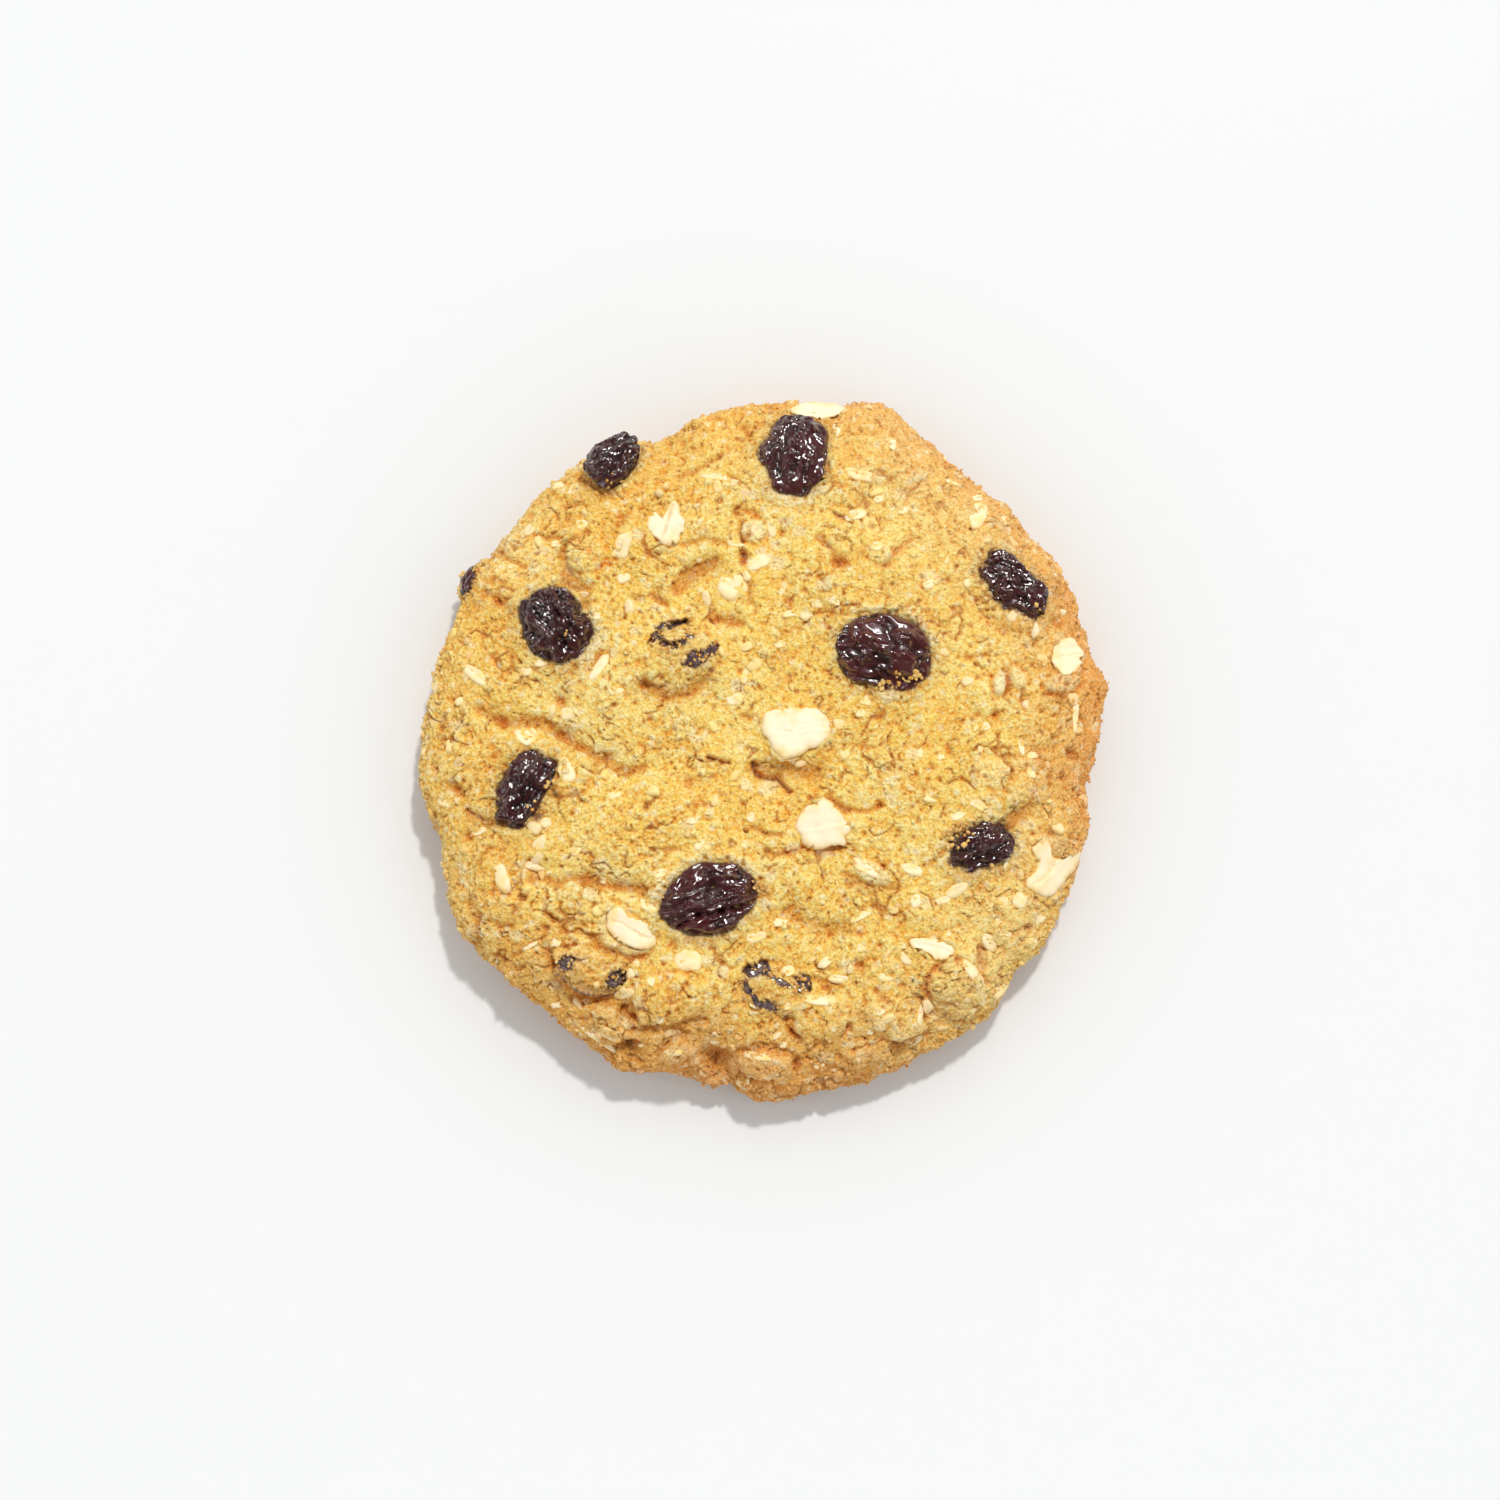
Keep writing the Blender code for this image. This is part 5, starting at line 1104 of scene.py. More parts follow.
P0, DOUGH_P, DOUGH_F, DOUGH_PART, FIELDS = build_dough()
DOUGH_N = point_normals(DOUGH_P, DOUGH_F)
SMOOTH_N = point_normals(P0, DOUGH_F)
DOUGH_TINT = dough_tint(DOUGH_P, FIELDS)
DOUGH_TREE = BVHTree.FromPolygons([Vector(v) for v in DOUGH_P.tolist()], [tuple(f) for f in DOUGH_F.tolist()])
stamp("dough coloured, %d triangles" % len(DOUGH_F))

# ================================================================= rolled oats
def surface_frame(x, y):
    """Where a vertical line meets the dough, and the smooth form's normal there."""
    e = 0.8
    hit = DOUGH_TREE.ray_cast(Vector((x, y, 30.0)), Vector((0, 0, -1.0)), 40.0)
    z = hit[0].z if hit[0] is not None else form_height_at(x, y)
    hx = form_height_at(x + e, y) - form_height_at(x - e, y)
    hy = form_height_at(x, y + e) - form_height_at(x, y - e)
    n = np.array([-hx / (2 * e), -hy / (2 * e), 1.0])
    return np.array([x, y, z]), n / np.linalg.norm(n)


def make_flake(outline_xy, thick, crease_deg, shade, seed, rings=9, frame_in=None, curl=0.10, bed=0.45, fold=0.12, crisp=6):
    """A rolled flake: rounded edge, centre crease, a gentle warp, pressed a little into the dough.
    outline_xy is in plan; with frame_in = (origin, u, v, n) it is in that plane instead."""
    rng = np.random.default_rng(seed)
    s = len(outline_xy)
    mid = outline_xy.mean(axis=0)
    if frame_in is None:
        samples = np.concatenate([outline_xy[:: max(1, s // 14)], mid + 0.5 * (outline_xy[:: max(1, s // 8)] - mid), [mid]])
        zs = []
        for px, py in samples:
            theta = math.atan2(py, px)
            limit = float(rim_radius(theta)) - 0.25
            r = math.hypot(px, py)
            if r > limit:
                px, py = px * limit / r, py * limit / r
            hit = DOUGH_TREE.ray_cast(Vector((px, py, 30.0)), Vector((0, 0, -1.0)), 40.0)[0]
            zs.append(hit.z if hit is not None else form_height_at(px, py))
        a = np.stack([np.ones(len(samples)), samples[:, 0] - mid[0], samples[:, 1] - mid[1],
                      0.3 * (samples[:, 0] - mid[0]) ** 2, 0.3 * (samples[:, 1] - mid[1]) ** 2], axis=1)
        ridge = np.diag([0.0, 0.5, 0.5, 6.0, 6.0])
        fit = np.linalg.solve(a.T @ a + ridge, a.T @ np.array(zs))
    cr = math.radians(crease_deg)
    cu, cv = np.array([math.cos(cr), math.sin(cr)]), np.array([-math.sin(cr), math.cos(cr)])
    span = max(np.ptp((outline_xy - mid) @ cu), 0.1)
    wave = rng.uniform(0, 2 * math.pi, 4)
    pts, tint_v, faces = [], [], []
    levels = [0.0] + [((k + 1) / rings) ** 0.85 for k in range(rings)]

    def place(xy, r, lower):
        rel = xy - mid
        u, v = rel @ cu, rel @ cv
        edge = max(0.0, 1.0 - r ** crisp) ** 0.5
        bend = 0.16 * np.sin(1.1 * u + wave[0]) + 0.05 * np.sin(3.3 * u + wave[1])
        keep = smooth(0.48, 0.34, np.abs(u / span - 0.05))
        crease = fold * (1.1 * np.exp(-((v - bend) / 0.15) ** 2) + 0.75 * np.tanh((v - bend) / 0.10)) * keep
        side_fold = 0.4 * fold * np.exp(-((v - bend - 0.24 * span) / 0.30) ** 2)
        warp_h = 0.09 * np.sin(1.2 * u + wave[0]) * np.cos(0.9 * v + wave[1]) + 0.03 * np.sin(2.6 * u + wave[2] + v)
        h = thick * (0.30 + 0.70 * edge) - bed * thick + curl * r ** 2 * np.sin(2.0 * np.arctan2(v, u) + wave[3])
        h = h + (warp_h - crease - side_fold) * min(1.0, thick / 0.7)
        if lower:
            h = h - thick * (0.55 + 0.5 * edge) - 0.25
        return h
    for lower in (False, True):
        for k, r in enumerate(levels):
            count = 1 if k == 0 else s
            xy = np.tile(mid, (1, 1)) if k == 0 else mid + (outline_xy - mid) * (r if not lower else r * 0.96)
            h = place(xy, r, lower)
            if frame_in is None:
                rel = xy - mid
                z = fit[0] + rel @ fit[1:3] + 0.3 * (rel[:, 0] ** 2 * fit[3] + rel[:, 1] ** 2 * fit[4])
                block = np.stack([xy[:, 0], xy[:, 1], z + h], axis=1)
            else:
                o, fu, fv, fn = frame_in
                block = o + np.outer(xy[:, 0], fu) + np.outer(xy[:, 1], fv) + np.outer(h, fn)
            pts.append(block)
            tint_v.append(np.full(count, r))
    per = 1 + rings * s
    for lower in (False, True):
        off = per if lower else 0
        j = np.arange(s)
        nx = (j + 1) % s
        tri = [np.stack([np.full(s, off), off + 1 + j, off + 1 + nx], axis=1)]
        for k in range(1, rings):
            a, b = off + 1 + (k - 1) * s, off + 1 + k * s
            tri.append(np.stack([a + j, b + j, b + nx], axis=1))
            tri.append(np.stack([a + j, b + nx, a + nx], axis=1))
        tri = np.concatenate(tri)
        faces.append(tri[:, ::-1] if lower else tri)
    a, b = 1 + (rings - 1) * s, per + 1 + (rings - 1) * s
    j = np.arange(s)
    nx = (j + 1) % s
    faces.append(np.stack([a + j, b + j, b + nx], axis=1))
    faces.append(np.stack([a + j, b + nx, a + nx], axis=1))
    p, f, r = np.concatenate(pts), np.concatenate(faces), np.concatenate(tint_v)
    # signed area decides which way the outline ran
    area = 0.5 * np.sum(outline_xy[:, 0] * np.roll(outline_xy[:, 1], -1) - np.roll(outline_xy[:, 0], -1) * outline_xy[:, 1])
    if area < 0:
        f = f[:, ::-1]
    p = p + 0.05 * thick * np.stack([fbm(p / 0.8 + seed, 300 + k, 2) for k in range(3)], axis=1)
    cream = np.array([0.935, 0.79, 0.565])
    golden = np.array([0.90, 0.67, 0.29])
    col = np.tile(cream, (len(p), 1)) * (1.0 - shade) + golden * shade
    streak = 0.5 + 0.5 * np.sin(5.0 * (p[:, :2] @ cv) + 2.0 * gradient_noise(p / 1.2, seed))
    col = col * (1.0 - 0.05 * streak)[:, None]
    film = smooth(0.62, 1.0, r) * (0.16 + 0.62 * smooth(-0.15, 0.30, gradient_noise(p / 1.4, seed + 5)))
    col = blend3(col, golden * np.array([0.98, 0.92, 0.72]), film + 0.34 * smooth(0.05, 0.40, gradient_noise(p / np.array([1.5, 2.4, 2.0]), seed + 3)))
    return p, f, col


def rough_ellipse(a, b, yaw, count, seed, jag=0.10, square=2.4):
    rng = np.random.default_rng(seed)
    t = np.arange(count) * (2.0 * math.pi / count)
    c, s = np.cos(t), np.sin(t)
    k = (np.abs(c) ** square + np.abs(s) ** square) ** (-1.0 / square)
    for m in (2, 3, 4, 5, 7):
        k = k * (1.0 + jag * rng.uniform(0.2, 1.0) * np.sin(m * t + rng.uniform(0, 6.3)) / math.sqrt(m))
    x, y = a * k * c, b * k * s
    w = math.radians(yaw)
    return np.stack([x * math.cos(w) - y * math.sin(w), x * math.sin(w) + y * math.cos(w)], axis=1)


class Heap:
    """Collects many small meshes into one piece."""

    def __init__(self):
        self.p, self.f, self.c, self.n = [], [], [], 0

    def add(self, p, f, c):
        self.p.append(p)
        self.f.append(np.asarray(f) + self.n)
        self.c.append(c)
        self.n += len(p)

    def join(self):
        return np.concatenate(self.p), np.concatenate(self.f), np.concatenate(self.c)


LARGE = {}
for row in LARGE_FLAKES:
    seed = int(row[0][-2:]) * 17
    curve = closed_curve(row[5:], 120)
    # a broken, slightly nicked edge
    flat = np.column_stack([curve, np.zeros(120)])
    jag = 0.40 * gradient_noise(flat / 1.3, 60 + seed) + 0.22 * gradient_noise(flat / 0.5, 61 + seed)
    jag -= 0.42 * smooth(0.22, 0.42, gradient_noise(flat / 0.9, 62 + seed))
    mid = curve.mean(axis=0)
    out = (curve - mid) / np.linalg.norm(curve - mid, axis=1)[:, None]
    LARGE[row[0]] = make_flake(curve + out * jag[:, None], 0.85 * row[1], row[2], row[3], seed, rings=12, bed=0.12,
                               fold=1.5 * row[4], curl=0.10, crisp=16)

bits = Heap()
for k, (x, y, a, b, yaw, thick, shade) in enumerate(SMALL_FLAKES):
    edge = rough_ellipse(a, b, yaw, 22, 900 + k, 0.16) + np.array([x, y])
    p, f, c = make_flake(edge, thick, yaw + 5.0, shade, 900 + k, rings=5, bed=0.62)
    # thin crumb clings to parts of the leaf
    cling = 0.18 + smooth(-0.05, 0.35, gradient_noise(p / 1.1, 400 + k)) * (0.45 + 0.5 * shade)
    c = blend3(c, (0.93, 0.64, 0.17), cling)
    bits.add(p, f, c)

# broken fragments everywhere, tilted a little out of the surface
rng = np.random.default_rng(5)
top_points = np.where((FIELDS["seat"] < 0.3) & (FIELDS["zone"] < 0.85) & (FIELDS["contact_shade"] < 0.25) & (DOUGH_P[:, 2] > 1.0))[0]
for k in range(150):
    i = int(rng.choice(top_points))
    o, n = DOUGH_P[i], SMOOTH_N[i] + rng.normal(0.0, 0.28, 3)
    n /= np.linalg.norm(n)
    u = np.cross(n, rng.normal(0, 1, 3))
    u /= np.linalg.norm(u)
    v = np.cross(n, u)
    a = rng.uniform(0.40, 1.05)
    b = a * rng.uniform(0.45, 0.85)
    shade = float(np.clip(rng.normal(0.42, 0.25), 0.05, 1.0))
    edge = rough_ellipse(a, b, 0.0, 14, 3000 + k, 0.22)
    p, f, c = make_flake(edge, rng.uniform(0.28, 0.5), 0.0, shade, 3000 + k, rings=3, frame_in=(o, u, v, n), curl=0.06, bed=0.5)
    c = blend3(c, DOUGH_TINT[i], np.full(len(c), rng.uniform(0.25, 0.8)))
    bits.add(p, f, c)
BITS = bits.join()
stamp("flakes made, %d triangles in bits" % len(BITS[1]))

# ================================================================= crumbs
def lumpy(points, seed, amount):
    rng = np.random.default_rng(seed)
    k = rng.normal(0, 1, (4, 3)) * 1.7
    ph = rng.uniform(0, 6.3, 4)
    r = 1.0 + amount * sum(np.sin(points @ k[i] + ph[i]) for i in range(4)) / 2.0
    return points * r[:, None]


def scatter(count, level, r_lo, r_hi, sink, seed, weights, power=1.6):
    u, f = ico(level)
    shapes = [lumpy(u, seed + k, 0.55) for k in range(24)]
    rng = np.random.default_rng(seed)
    chosen = rng.choice(len(DOUGH_P), size=count, p=weights / weights.sum())
    heap = Heap()
    tone_n = fbm(DOUGH_P[chosen] / 3.0, seed, 2)
    for k, i in enumerate(chosen):
        r = r_lo + (r_hi - r_lo) * rng.random() ** power
        stretch = rng.uniform(0.7, 1.25, 3)
        ang = rng.uniform(0, 2 * math.pi, 3)
        m = np.array(Matrix.Rotation(ang[0], 3, 'X') @ Matrix.Rotation(ang[1], 3, 'Y') @ Matrix.Rotation(ang[2], 3, 'Z'))
        body = (shapes[k % 24] * stretch * r) @ m.T
        spot = DOUGH_P[i] + DOUGH_N[i] * (r * rng.uniform(sink[0], sink[1])) + rng.normal(0, 0.08, 3)
        c = DOUGH_TINT[i].copy()
        t = float(np.clip(rng.normal(-0.02, 0.17) + 0.15 * tone_n[k], -0.5, 0.45))
        goal = np.array([0.955, 0.82, 0.50]) if t > 0 else np.array([0.64, 0.29, 0.045])
        c = c * (1 - abs(t)) + goal * abs(t)
        heap.add(body + spot, f, np.tile(c, (len(u), 1)))
    return heap


usable = (FIELDS["seat"] < 0.3) & (FIELDS["zone"] < 0.93) & (FIELDS["contact_shade"] < 0.55) & (DOUGH_P[:, 2] > 0.7)
edge_of_fruit = np.exp(-((FIELDS["fruit_shade_and_stain"] - 0.55) / 0.2) ** 2)
smooth_spots = np.clip(np.abs(FIELDS["pale"]), 0, 1)
weight = usable * (0.35 + 0.8 * FIELDS["patchy"] + 1.0 * FIELDS["crag"] + 0.9 * edge_of_fruit) * (1.0 - 0.8 * smooth_spots)
coarse = scatter(430, 2, 0.22, 0.50, (-0.60, -0.20), 7001, weight * (FIELDS["high"] > 0.35), 2.2)
fine = scatter(3600, 1, 0.12, 0.27, (-0.40, 0.15), 7002, weight, 1.5)

# crumbs that lie over the edges of the fruit: x, y, spread, count, size
OVER_FRUIT = (
    (23.2, -11.6, 0.9, 9, 0.38), (24.4, -10.2, 0.9, 12, 0.34), (25.6, -9.4, 0.7, 7, 0.36), (22.6, -12.6, 0.5, 5, 0.3),
    (-26.5, -4.6, 0.35, 7, 0.34), (-27.4, -7.4, 0.45, 6, 0.3), (-29.2, -7.1, 0.12, 1, 0.26), (14.9, 8.0, 0.5, 6, 0.48),
    (17.6, 8.4, 0.7, 8, 0.42), (19.0, 8.7, 0.5, 6, 0.4), (16.0, 8.2, 0.4, 3, 0.36), (-0.9, -16.4, 0.4, 6, 0.3),
    (-0.8, -17.6, 0.35, 4, 0.28), (34.1, 18.1, 0.15, 2, 0.34), (-24.7, 14.4, 0.25, 3, 0.28), (34.5, 17.0, 0.4, 4, 0.3),
    (-18.4, 33.2, 0.8, 8, 0.28), (7.4, 34.0, 0.5, 5, 0.3), (-30.5, 13.6, 0.6, 5, 0.3), (27.0, 18.9, 0.6, 5, 0.3),
    (28.3, -14.8, 0.3, 4, 0.36), (-12.0, 12.6, 0.7, 9, 0.3), (-11.6, 11.4, 0.5, 8, 0.32), (-9.3, 14.6, 0.6, 6, 0.3),
    (2.0, -28.7, 1.3, 20, 0.32), (4.2, -29.0, 1.0, 16, 0.32), (-0.2, -26.9, 1.1, 12, 0.26), (-1.4, -30.4, 0.9, 10, 0.26), (0.8, -32.2, 1.1, 12, 0.26),
    (-8.2, 11.6, 1.1, 14, 0.28), (-7.0, 10.0, 0.8, 8, 0.26), (-11.0, 14.6, 1.2, 14, 0.28), (-9.6, 13.4, 0.9, 10, 0.26), (-13.0, 13.8, 0.7, 8, 0.26),
    (-24.6, -26.6, 0.7, 8, 0.26), (-18.2, -28.6, 0.8, 9, 0.26), (-24.2, -26.2, 0.5, 5, 0.26), (-17.6, -28.2, 0.5, 4, 0.28),
    (0.5, -27.8, 0.4, 5, 0.26), (5.3, -29.6, 0.5, 6, 0.26), (-13.4, 14.2, 0.6, 5, 0.26),
)
rng = np.random.default_rng(99)
u2, f2_ = ico(2)
trees = [DOUGH_TREE] + list(RAISIN_TREES.values())
for cx, cy, spread, count, size in OVER_FRUIT:
    for k in range(count):
        x, y = cx + rng.normal(0, spread), cy + rng.normal(0, spread)
        z = max((t.ray_cast(Vector((x, y, 30.0)), Vector((0, 0, -1.0)), 40.0)[0] or Vector((0, 0, -9.0))).z for t in trees)
        if z < 0:
            continue
        r = size * rng.uniform(0.40, 0.90)
        body = lumpy(u2, int(rng.integers(1e6)), 0.3) * r * rng.uniform(0.75, 1.2, 3)
        c = np.array([0.84, 0.53, 0.15]) * (1 - k % 3 * 0.10) if rng.random() > 0.35 else np.array([0.64, 0.31, 0.06])
        coarse.add(body + np.array([x, y, z + 0.25 * r]), f2_, np.tile(c, (len(u2), 1)))
COARSE, FINE = coarse.join(), fine.join()
total = len(DOUGH_F) + len(BITS[1]) + len(COARSE[1]) + len(FINE[1]) + sum(len(v[1]) for v in LARGE.values()) \
    + sum(len(v[1]) for v in RAISIN_DATA.values())
stamp("%d triangles in all" % total)
stamp("crumbs made, %d and %d triangles" % (len(COARSE[1]), len(FINE[1])))

# ================================================================= materials
def new_material(name):
    mat = bpy.data.materials.new(name)
    mat.use_nodes = True
    nt = mat.node_tree
    nt.nodes.clear()
    out = nt.nodes.new("ShaderNodeOutputMaterial")
    bsdf = nt.nodes.new("ShaderNodeBsdfPrincipled")
    nt.links.new(bsdf.outputs["BSDF"], out.inputs["Surface"])
    return mat, nt, bsdf


def node(nt, kind, **values):
    n = nt.nodes.new(kind)
    for key, value in values.items():
        if key in n.inputs:
            n.inputs[key].default_value = value
        else:
            setattr(n, key, value)
    return n


def noise(nt, where, scale_mm, detail=3.0, rough=0.6, distortion=0.0):
    n = nt.nodes.new("ShaderNodeTexNoise")
    n.inputs["Scale"].default_value = 1000.0 / scale_mm
    n.inputs["Detail"].default_value = detail
    n.inputs["Roughness"].default_value = rough
    n.inputs["Distortion"].default_value = distortion
    nt.links.new(where, n.inputs["Vector"])
    return n.outputs["Fac"]


def ranged(nt, value, a, b, lo, hi):
    n = nt.nodes.new("ShaderNodeMapRange")
    n.inputs["From Min"].default_value, n.inputs["From Max"].default_value = a, b
    n.inputs["To Min"].default_value, n.inputs["To Max"].default_value = lo, hi
    nt.links.new(value, n.inputs["Value"])
    return n.outputs["Result"]


def mixed(nt, mode, fac, a, b):
    n = nt.nodes.new("ShaderNodeMix")
    n.data_type = "RGBA"
    n.blend_type = mode
    for socket, value in ((n.inputs[0], fac), (n.inputs[6], a), (n.inputs[7], b)):
        if isinstance(value, (int, float)):
            socket.default_value = value
        elif isinstance(value, tuple):
            socket.default_value = (*value, 1.0)
        else:
            nt.links.new(value, socket)
    return n.outputs[2]


def tint_of(nt, layer="tint"):
    n = nt.nodes.new("ShaderNodeAttribute")
    n.attribute_name = layer
    return n


def object_place(nt):
    return nt.nodes.new("ShaderNodeTexCoord").outputs["Object"]


def dough_material(name, bump_mm=0.11, speckle=1.0):
    mat, nt, bsdf = new_material(name)
    where = object_place(nt)
    tint = tint_of(nt).outputs["Color"]
    # grains of flour and sugar, about a third of a millimetre; the raised grains are paler and the low ones darker,
    # partly grain colour and partly painted light and shade
    fine = noise(nt, where, 0.34, 3.0, 0.65)
    broad = noise(nt, where, 1.3, 3.0, 0.6)
    pale_grain_and_lit_top = ranged(nt, fine, 0.54, 0.72, 0.0, 0.50 * speckle)
    dark_grain_and_shade = ranged(nt, fine, 0.48, 0.30, 0.0, 0.85 * speckle)
    c = mixed(nt, "MIX", pale_grain_and_lit_top, tint, (0.99, 0.88, 0.56))
    c = mixed(nt, "MULTIPLY", dark_grain_and_shade, c, (0.76, 0.42, 0.16))
    warm = ranged(nt, broad, 0.50, 0.30, 0.0, 0.18 * speckle)
    c = mixed(nt, "MULTIPLY", warm, c, (0.90, 0.66, 0.32))
    nt.links.new(c, bsdf.inputs["Base Color"])
    nt.links.new(ranged(nt, fine, 0.35, 0.75, 0.88, 0.62), bsdf.inputs["Roughness"])
    bsdf.inputs["Specular IOR Level"].default_value = 0.25
    grain = nt.nodes.new("ShaderNodeTexVoronoi")
    grain.feature = "F1"
    grain.inputs["Scale"].default_value = 1000.0 / 0.42
    grain.inputs["Randomness"].default_value = 1.0
    nt.links.new(where, grain.inputs["Vector"])
    add = nt.nodes.new("ShaderNodeMath")
    add.operation = "SUBTRACT"
    nt.links.new(fine, add.inputs[0])
    scaled = ranged(nt, grain.outputs["Distance"], 0.0, 1.0, 0.0, 0.55)
    nt.links.new(scaled, add.inputs[1])
    bump = nt.nodes.new("ShaderNodeBump")
    bump.inputs["Strength"].default_value = 1.0
    bump.inputs["Distance"].default_value = bump_mm * MM * 2.6
    nt.links.new(add.outputs[0], bump.inputs["Height"])
    nt.links.new(bump.outputs["Normal"], bsdf.inputs["Normal"])
    return mat


def raisin_material(name, red, seed, dusty, calm):
    mat, nt, bsdf = new_material(name)
    where = object_place(nt)
    fold_shade = nt.nodes.new("ShaderNodeAttribute")
    fold_shade.attribute_name = "fold_shade"
    v = fold_shade.outputs["Fac"]
    blotch = noise(nt, where, 2.6 + 0.1 * seed, 3.0, 0.55)
    fine = noise(nt, where, 0.30, 3.0, 0.6)
    # painted shade: the skin is darkest in its folds and lighter on its ridges
    c = mixed(nt, "MIX", ranged(nt, v, 0.12, 0.85, 0.0, 1.0), (0.012, 0.0030, 0.0026), (0.061 + 0.026 * red, 0.0120, 0.0130))
    c = mixed(nt, "MIX", ranged(nt, blotch, 0.48, 0.72, 0.0, 0.40 + 0.3 * red), c, (0.085, 0.021, 0.021))
    # a thin bloom of dried sugar in places
    dust = ranged(nt, fine, 0.64, 0.82, 0.0, 0.22)
    c = mixed(nt, "MIX", dust, c, (0.15, 0.075, 0.070))
    if dusty:
        c = mixed(nt, "MIX", 0.62, c, (0.135, 0.088, 0.092))
        # smears of crumb and fat on the fruit that is almost covered
        smear = noise(nt, where, 0.9, 3.0, 0.65, 0.4)
        c = mixed(nt, "MIX", ranged(nt, smear, 0.46, 0.62, 0.0, dusty), c, (0.24, 0.165, 0.160))
        c = mixed(nt, "MIX", ranged(nt, smear, 0.60, 0.72, 0.0, dusty), c, (0.62, 0.36, 0.12))
    nt.links.new(c, bsdf.inputs["Base Color"])
    nt.links.new(ranged(nt, blotch, 0.35, 0.70, 0.28, 0.46), bsdf.inputs["Roughness"])
    bsdf.inputs["Specular IOR Level"].default_value = 0.5
    bsdf.inputs["Coat Weight"].default_value = 1.0 - 0.7 * dusty
    bsdf.inputs["Coat IOR"].default_value = 1.7
    bsdf.inputs["Coat Roughness"].default_value = 0.13
    bump = nt.nodes.new("ShaderNodeBump")
    bump.inputs["Strength"].default_value = 0.85 * calm
    bump.inputs["Distance"].default_value = 0.30 * MM
    # puckered skin: fine rounded folds between sharp lines
    pucker = noise(nt, where, 1.25, 2.0, 0.50, 0.9)
    shift = nt.nodes.new("ShaderNodeMath")
    shift.operation = "SUBTRACT"
    shift.inputs[1].default_value = 0.5
    nt.links.new(pucker, shift.inputs[0])
    ridge = nt.nodes.new("ShaderNodeMath")
    ridge.operation = "ABSOLUTE"
    nt.links.new(shift.outputs[0], ridge.inputs[0])
    folds = ranged(nt, ridge.outputs[0], 0.0, 0.055, 1.0, 0.0)
    nt.links.new(folds, bump.inputs["Height"])
    nt.links.new(bump.outputs["Normal"], bsdf.inputs["Normal"])
    return mat


def oat_material(name, warm=0.0):
    mat, nt, bsdf = new_material(name)
    where = object_place(nt)
    tint = tint_of(nt).outputs["Color"]
    fine = noise(nt, where, 0.5, 3.0, 0.6)
    broad = noise(nt, where, 1.9, 3.0, 0.5)
    c = mixed(nt, "MULTIPLY", ranged(nt, broad, 0.46, 0.30, 0.0, 0.35 + warm), tint, (0.94, 0.84, 0.60))
    c = mixed(nt, "MULTIPLY", ranged(nt, fine, 0.42, 0.28, 0.0, 0.35), c, (0.92, 0.80, 0.58))
    nt.links.new(c, bsdf.inputs["Base Color"])
    nt.links.new(ranged(nt, fine, 0.3, 0.7, 0.72, 0.52), bsdf.inputs["Roughness"])
    bsdf.inputs["Specular IOR Level"].default_value = 0.35
    bsdf.inputs["Subsurface Weight"].default_value = 0.10
    bsdf.inputs["Subsurface Radius"].default_value = (1.0, 0.7, 0.4)
    bsdf.inputs["Subsurface Scale"].default_value = 0.0008
    bump = nt.nodes.new("ShaderNodeBump")
    bump.inputs["Strength"].default_value = 0.35
    bump.inputs["Distance"].default_value = 0.10 * MM
    nt.links.new(noise(nt, where, 0.38, 3.0, 0.6, 0.3), bump.inputs["Height"])
    nt.links.new(bump.outputs["Normal"], bsdf.inputs["Normal"])
    return mat


def show(name, mesh, material, nodes=()):
    obj = bpy.data.objects.new(name, mesh)
    bpy.context.scene.collection.objects.link(obj)
    mesh.materials.append(material)
    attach(obj, "root")
    if nodes:
        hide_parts(*nodes)
    return obj


DOUGH_MAT = dough_material("crumbly_dough")
CRUMB_MAT = dough_material("loose_crumb", bump_mm=0.07, speckle=0.8)
for which, name in enumerate(("dough_crown", "dough_shoulder", "dough_side_and_underside")):
    own = DOUGH_F[DOUGH_PART == which]
    used, local = np.unique(own, return_inverse=True)
    mesh = mesh_from(name, DOUGH_P[used], local.reshape(-1, 3), {"tint": DOUGH_TINT[used]}, DOUGH_N[used])
    show(name, mesh, DOUGH_MAT, ("dough",))
show("crumbs_coarse", mesh_from("crumbs_coarse", COARSE[0], COARSE[1], {"tint": COARSE[2]}), CRUMB_MAT)
show("crumbs_fine", mesh_from("crumbs_fine", FINE[0], FINE[1], {"tint": FINE[2]}), CRUMB_MAT)
REDNESS = {"raisin_10": 1.6, "raisin_04": 1.0, "raisin_08": 0.7, "raisin_02": 0.5, "raisin_05": 0.6, "raisin_03": 0.2}
CALM = {"raisin_04": 0.35, "raisin_02": 0.7, "raisin_08": 0.65}
DUST = {"raisin_09": 0.9, "raisin_11": 0.7, "raisin_12": 0.7}
for k, row in enumerate(RAISINS):
    name = row[0]
    p, f, fold_shade = RAISIN_DATA[name]
    mat = raisin_material("skin_%02d" % (k + 1), REDNESS.get(name, 0.15), k, DUST.get(name, 0.0), CALM.get(name, 1.0))
    show("%s_skin" % name, mesh_from(name + "_skin", p, f, {"fold_shade": fold_shade}), mat, (name,))
for name, (p, f, c) in LARGE.items():
    show("%s_leaf" % name, mesh_from(name + "_leaf", p, f, {"tint": c}), oat_material("oat_leaf_" + name[-2:]), (name,))
show("oat_bits", mesh_from("oat_bits", BITS[0], BITS[1], {"tint": BITS[2]}), oat_material("oat_bits", 0.2))
stamp("pieces shown")

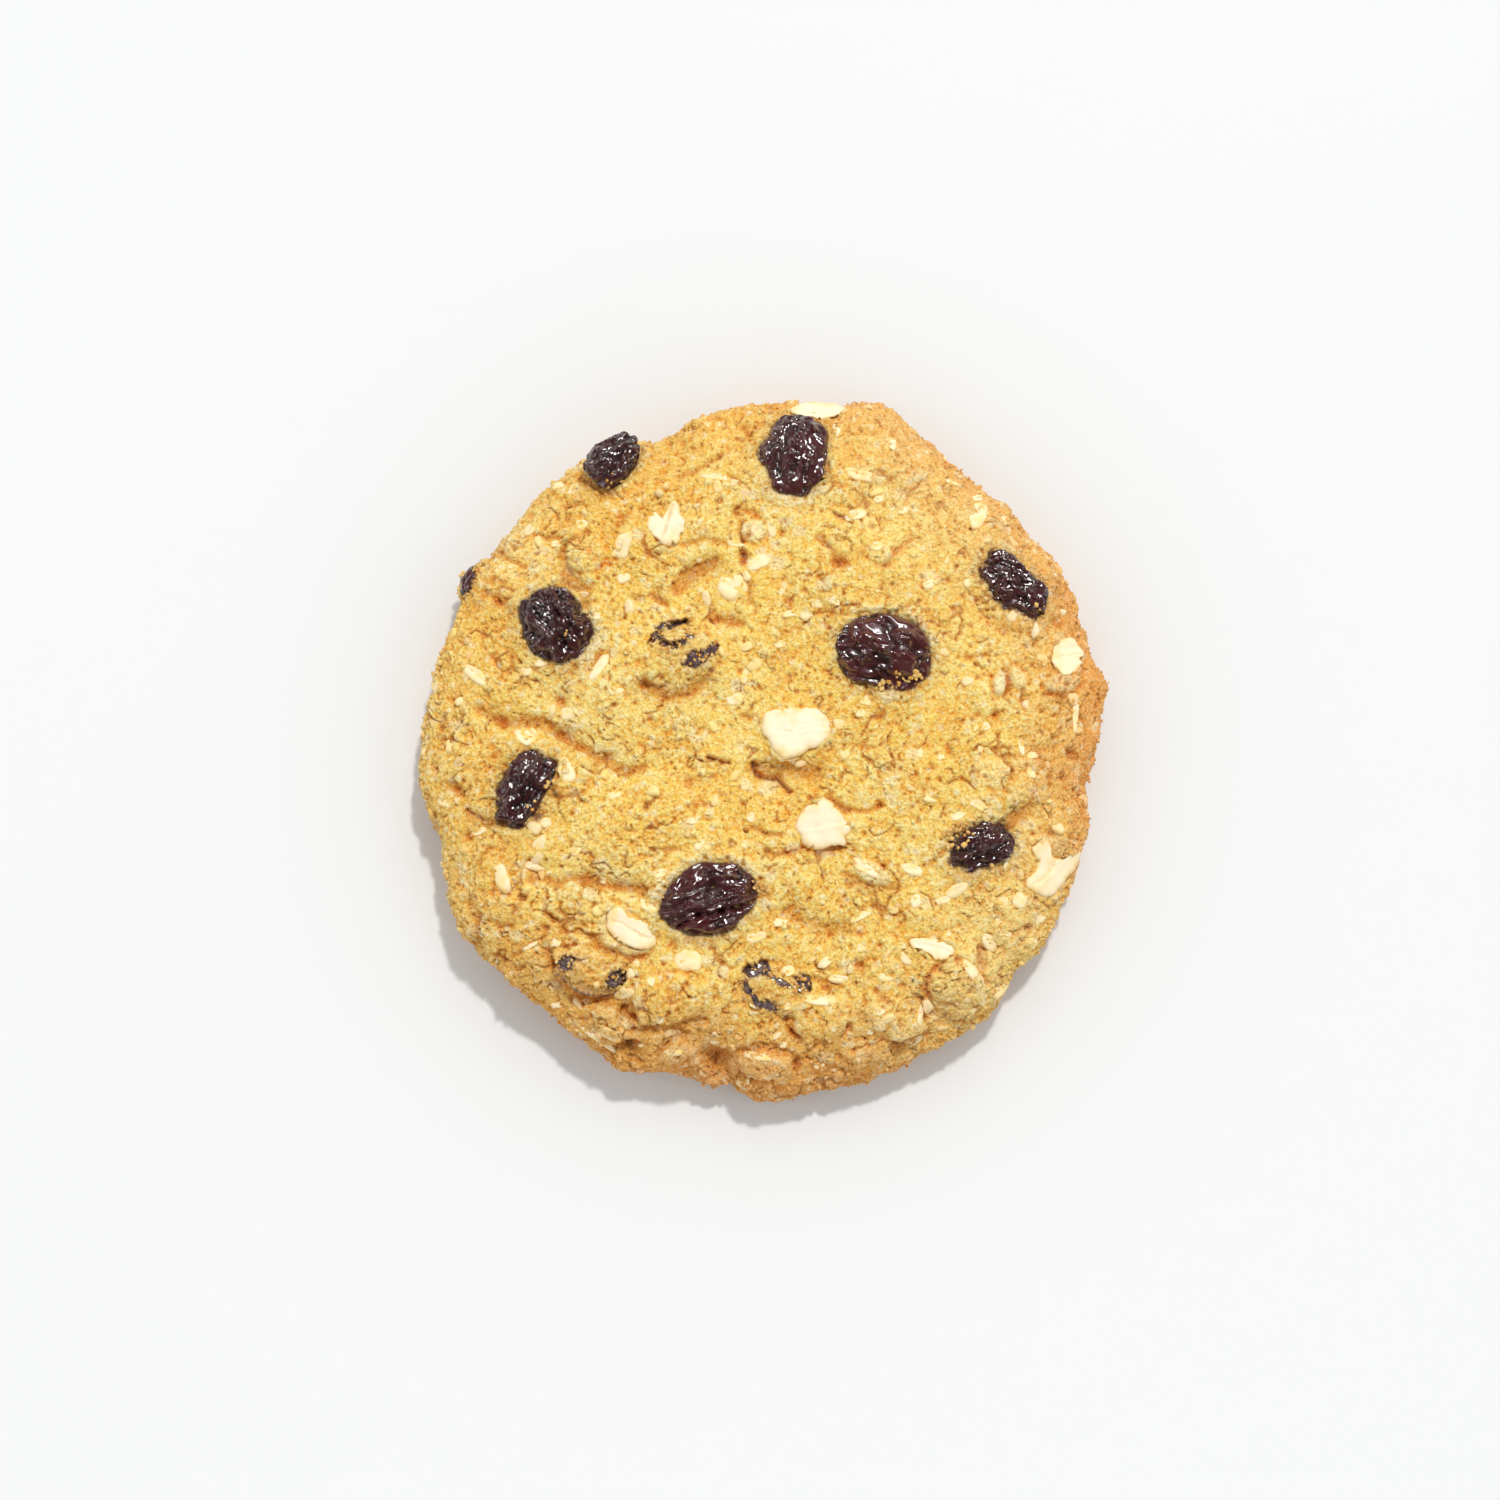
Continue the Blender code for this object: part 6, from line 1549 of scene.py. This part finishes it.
# ================================================================= floor, light, camera
floor_mesh = bpy.data.meshes.new("floor")
floor_mesh.from_pydata([(-3, -3, 0), (3, -3, 0), (3, 3, 0), (-3, 3, 0)], [], [(0, 1, 2, 3)])
floor = bpy.data.objects.new("floor", floor_mesh)
bpy.context.scene.collection.objects.link(floor)
floor.location.z = -0.00005
mat, nt, bsdf = new_material("pale_floor")
soft = noise(nt, object_place(nt), 300.0, 2.0, 0.4)
nt.links.new(mixed(nt, "MIX", ranged(nt, soft, 0.35, 0.65, 0.0, 1.0), (0.738, 0.740, 0.733), (0.747, 0.749, 0.742)), bsdf.inputs["Base Color"])
bsdf.inputs["Roughness"].default_value = 0.55
bsdf.inputs["Specular IOR Level"].default_value = 0.3
floor_mesh.materials.append(mat)

sun_data = bpy.data.lights.new("window_sun", "SUN")
sun_data.energy = 1.76
sun_data.angle = math.radians(4.0)
sun_data.color = (1.0, 0.99, 0.965)
sun = bpy.data.objects.new("window_sun", sun_data)
bpy.context.scene.collection.objects.link(sun)
sun.rotation_mode = "QUATERNION"
sun.rotation_quaternion = Vector((0.16, 0.52, 0.84)).normalized().to_track_quat("Z", "Y")

world = bpy.data.worlds.new("studio")
bpy.context.scene.world = world
world.use_nodes = True
tree = world.node_tree
background = tree.nodes["Background"]
# a pale room: bright walls all round, a quieter ceiling, one broad window above the far side
way = tree.nodes.new("ShaderNodeTexCoord").outputs["Generated"]
parts = tree.nodes.new("ShaderNodeSeparateXYZ")
tree.links.new(way, parts.inputs[0])
walls = ranged(tree, parts.outputs["Z"], 0.60, 0.96, 1.03, 0.36)
aim = tree.nodes.new("ShaderNodeVectorMath")
aim.operation = "DOT_PRODUCT"
aim.inputs[1].default_value = Vector((0.12, 0.70, 0.70)).normalized()
tree.links.new(way, aim.inputs[0])
window = ranged(tree, aim.outputs["Value"], 0.93, 0.985, 0.0, 0.8)
total_light = tree.nodes.new("ShaderNodeMath")
total_light.operation = "ADD"
tree.links.new(walls, total_light.inputs[0])
tree.links.new(window, total_light.inputs[1])
tree.links.new(total_light.outputs[0], background.inputs["Strength"])
background.inputs["Color"].default_value = (0.975, 1.0, 1.02, 1.0)

world.cycles_visibility.glossy = False
# the window as the fruit mirrors it
pane_data = bpy.data.lights.new("window_pane", "AREA")
pane_data.shape = "RECTANGLE"
pane_data.size, pane_data.size_y = 0.42, 0.26
pane_data.energy = math.pi * 0.42 * 0.26 * 16.0
pane = bpy.data.objects.new("window_pane", pane_data)
bpy.context.scene.collection.objects.link(pane)
reach = Vector((0.10, 0.60, 0.80)).normalized()
pane.location = reach * 1.0
pane.rotation_mode = "QUATERNION"
pane.rotation_quaternion = reach.to_track_quat("Z", "Y")
pane.visible_diffuse = False
side_data = bpy.data.lights.new("side_pane", "AREA")
side_data.shape = "RECTANGLE"
side_data.size, side_data.size_y = 0.30, 0.50
side_data.energy = math.pi * 0.30 * 0.50 * 2.2
side = bpy.data.objects.new("side_pane", side_data)
bpy.context.scene.collection.objects.link(side)
reach = Vector((-0.75, -0.05, 0.65)).normalized()
side.location = reach * 1.0
side.rotation_mode = "QUATERNION"
side.rotation_quaternion = reach.to_track_quat("Z", "Y")
side.visible_diffuse = False

cam_data = bpy.data.cameras.new("camera")
cam_data.lens = 135.0
cam_data.sensor_width = 36.0
cam_data.clip_start, cam_data.clip_end = 0.01, 20.0
camera = bpy.data.objects.new("camera", cam_data)
bpy.context.scene.collection.objects.link(camera)
TILT = math.radians(2.5)
target = (Vector((-1.75, 0.0, 10.0)) + Vector(SHIFT)) * MM
back = Vector((0.0, -math.sin(TILT), math.cos(TILT)))
camera.location = target + back * 0.703
camera.rotation_mode = "QUATERNION"
camera.rotation_quaternion = (-back).to_track_quat("-Z", "Y")
bpy.context.scene.camera = camera
bpy.context.scene.view_settings.view_transform = "Standard"
bpy.context.scene.view_settings.look = "None"

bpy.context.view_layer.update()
stamp("done")
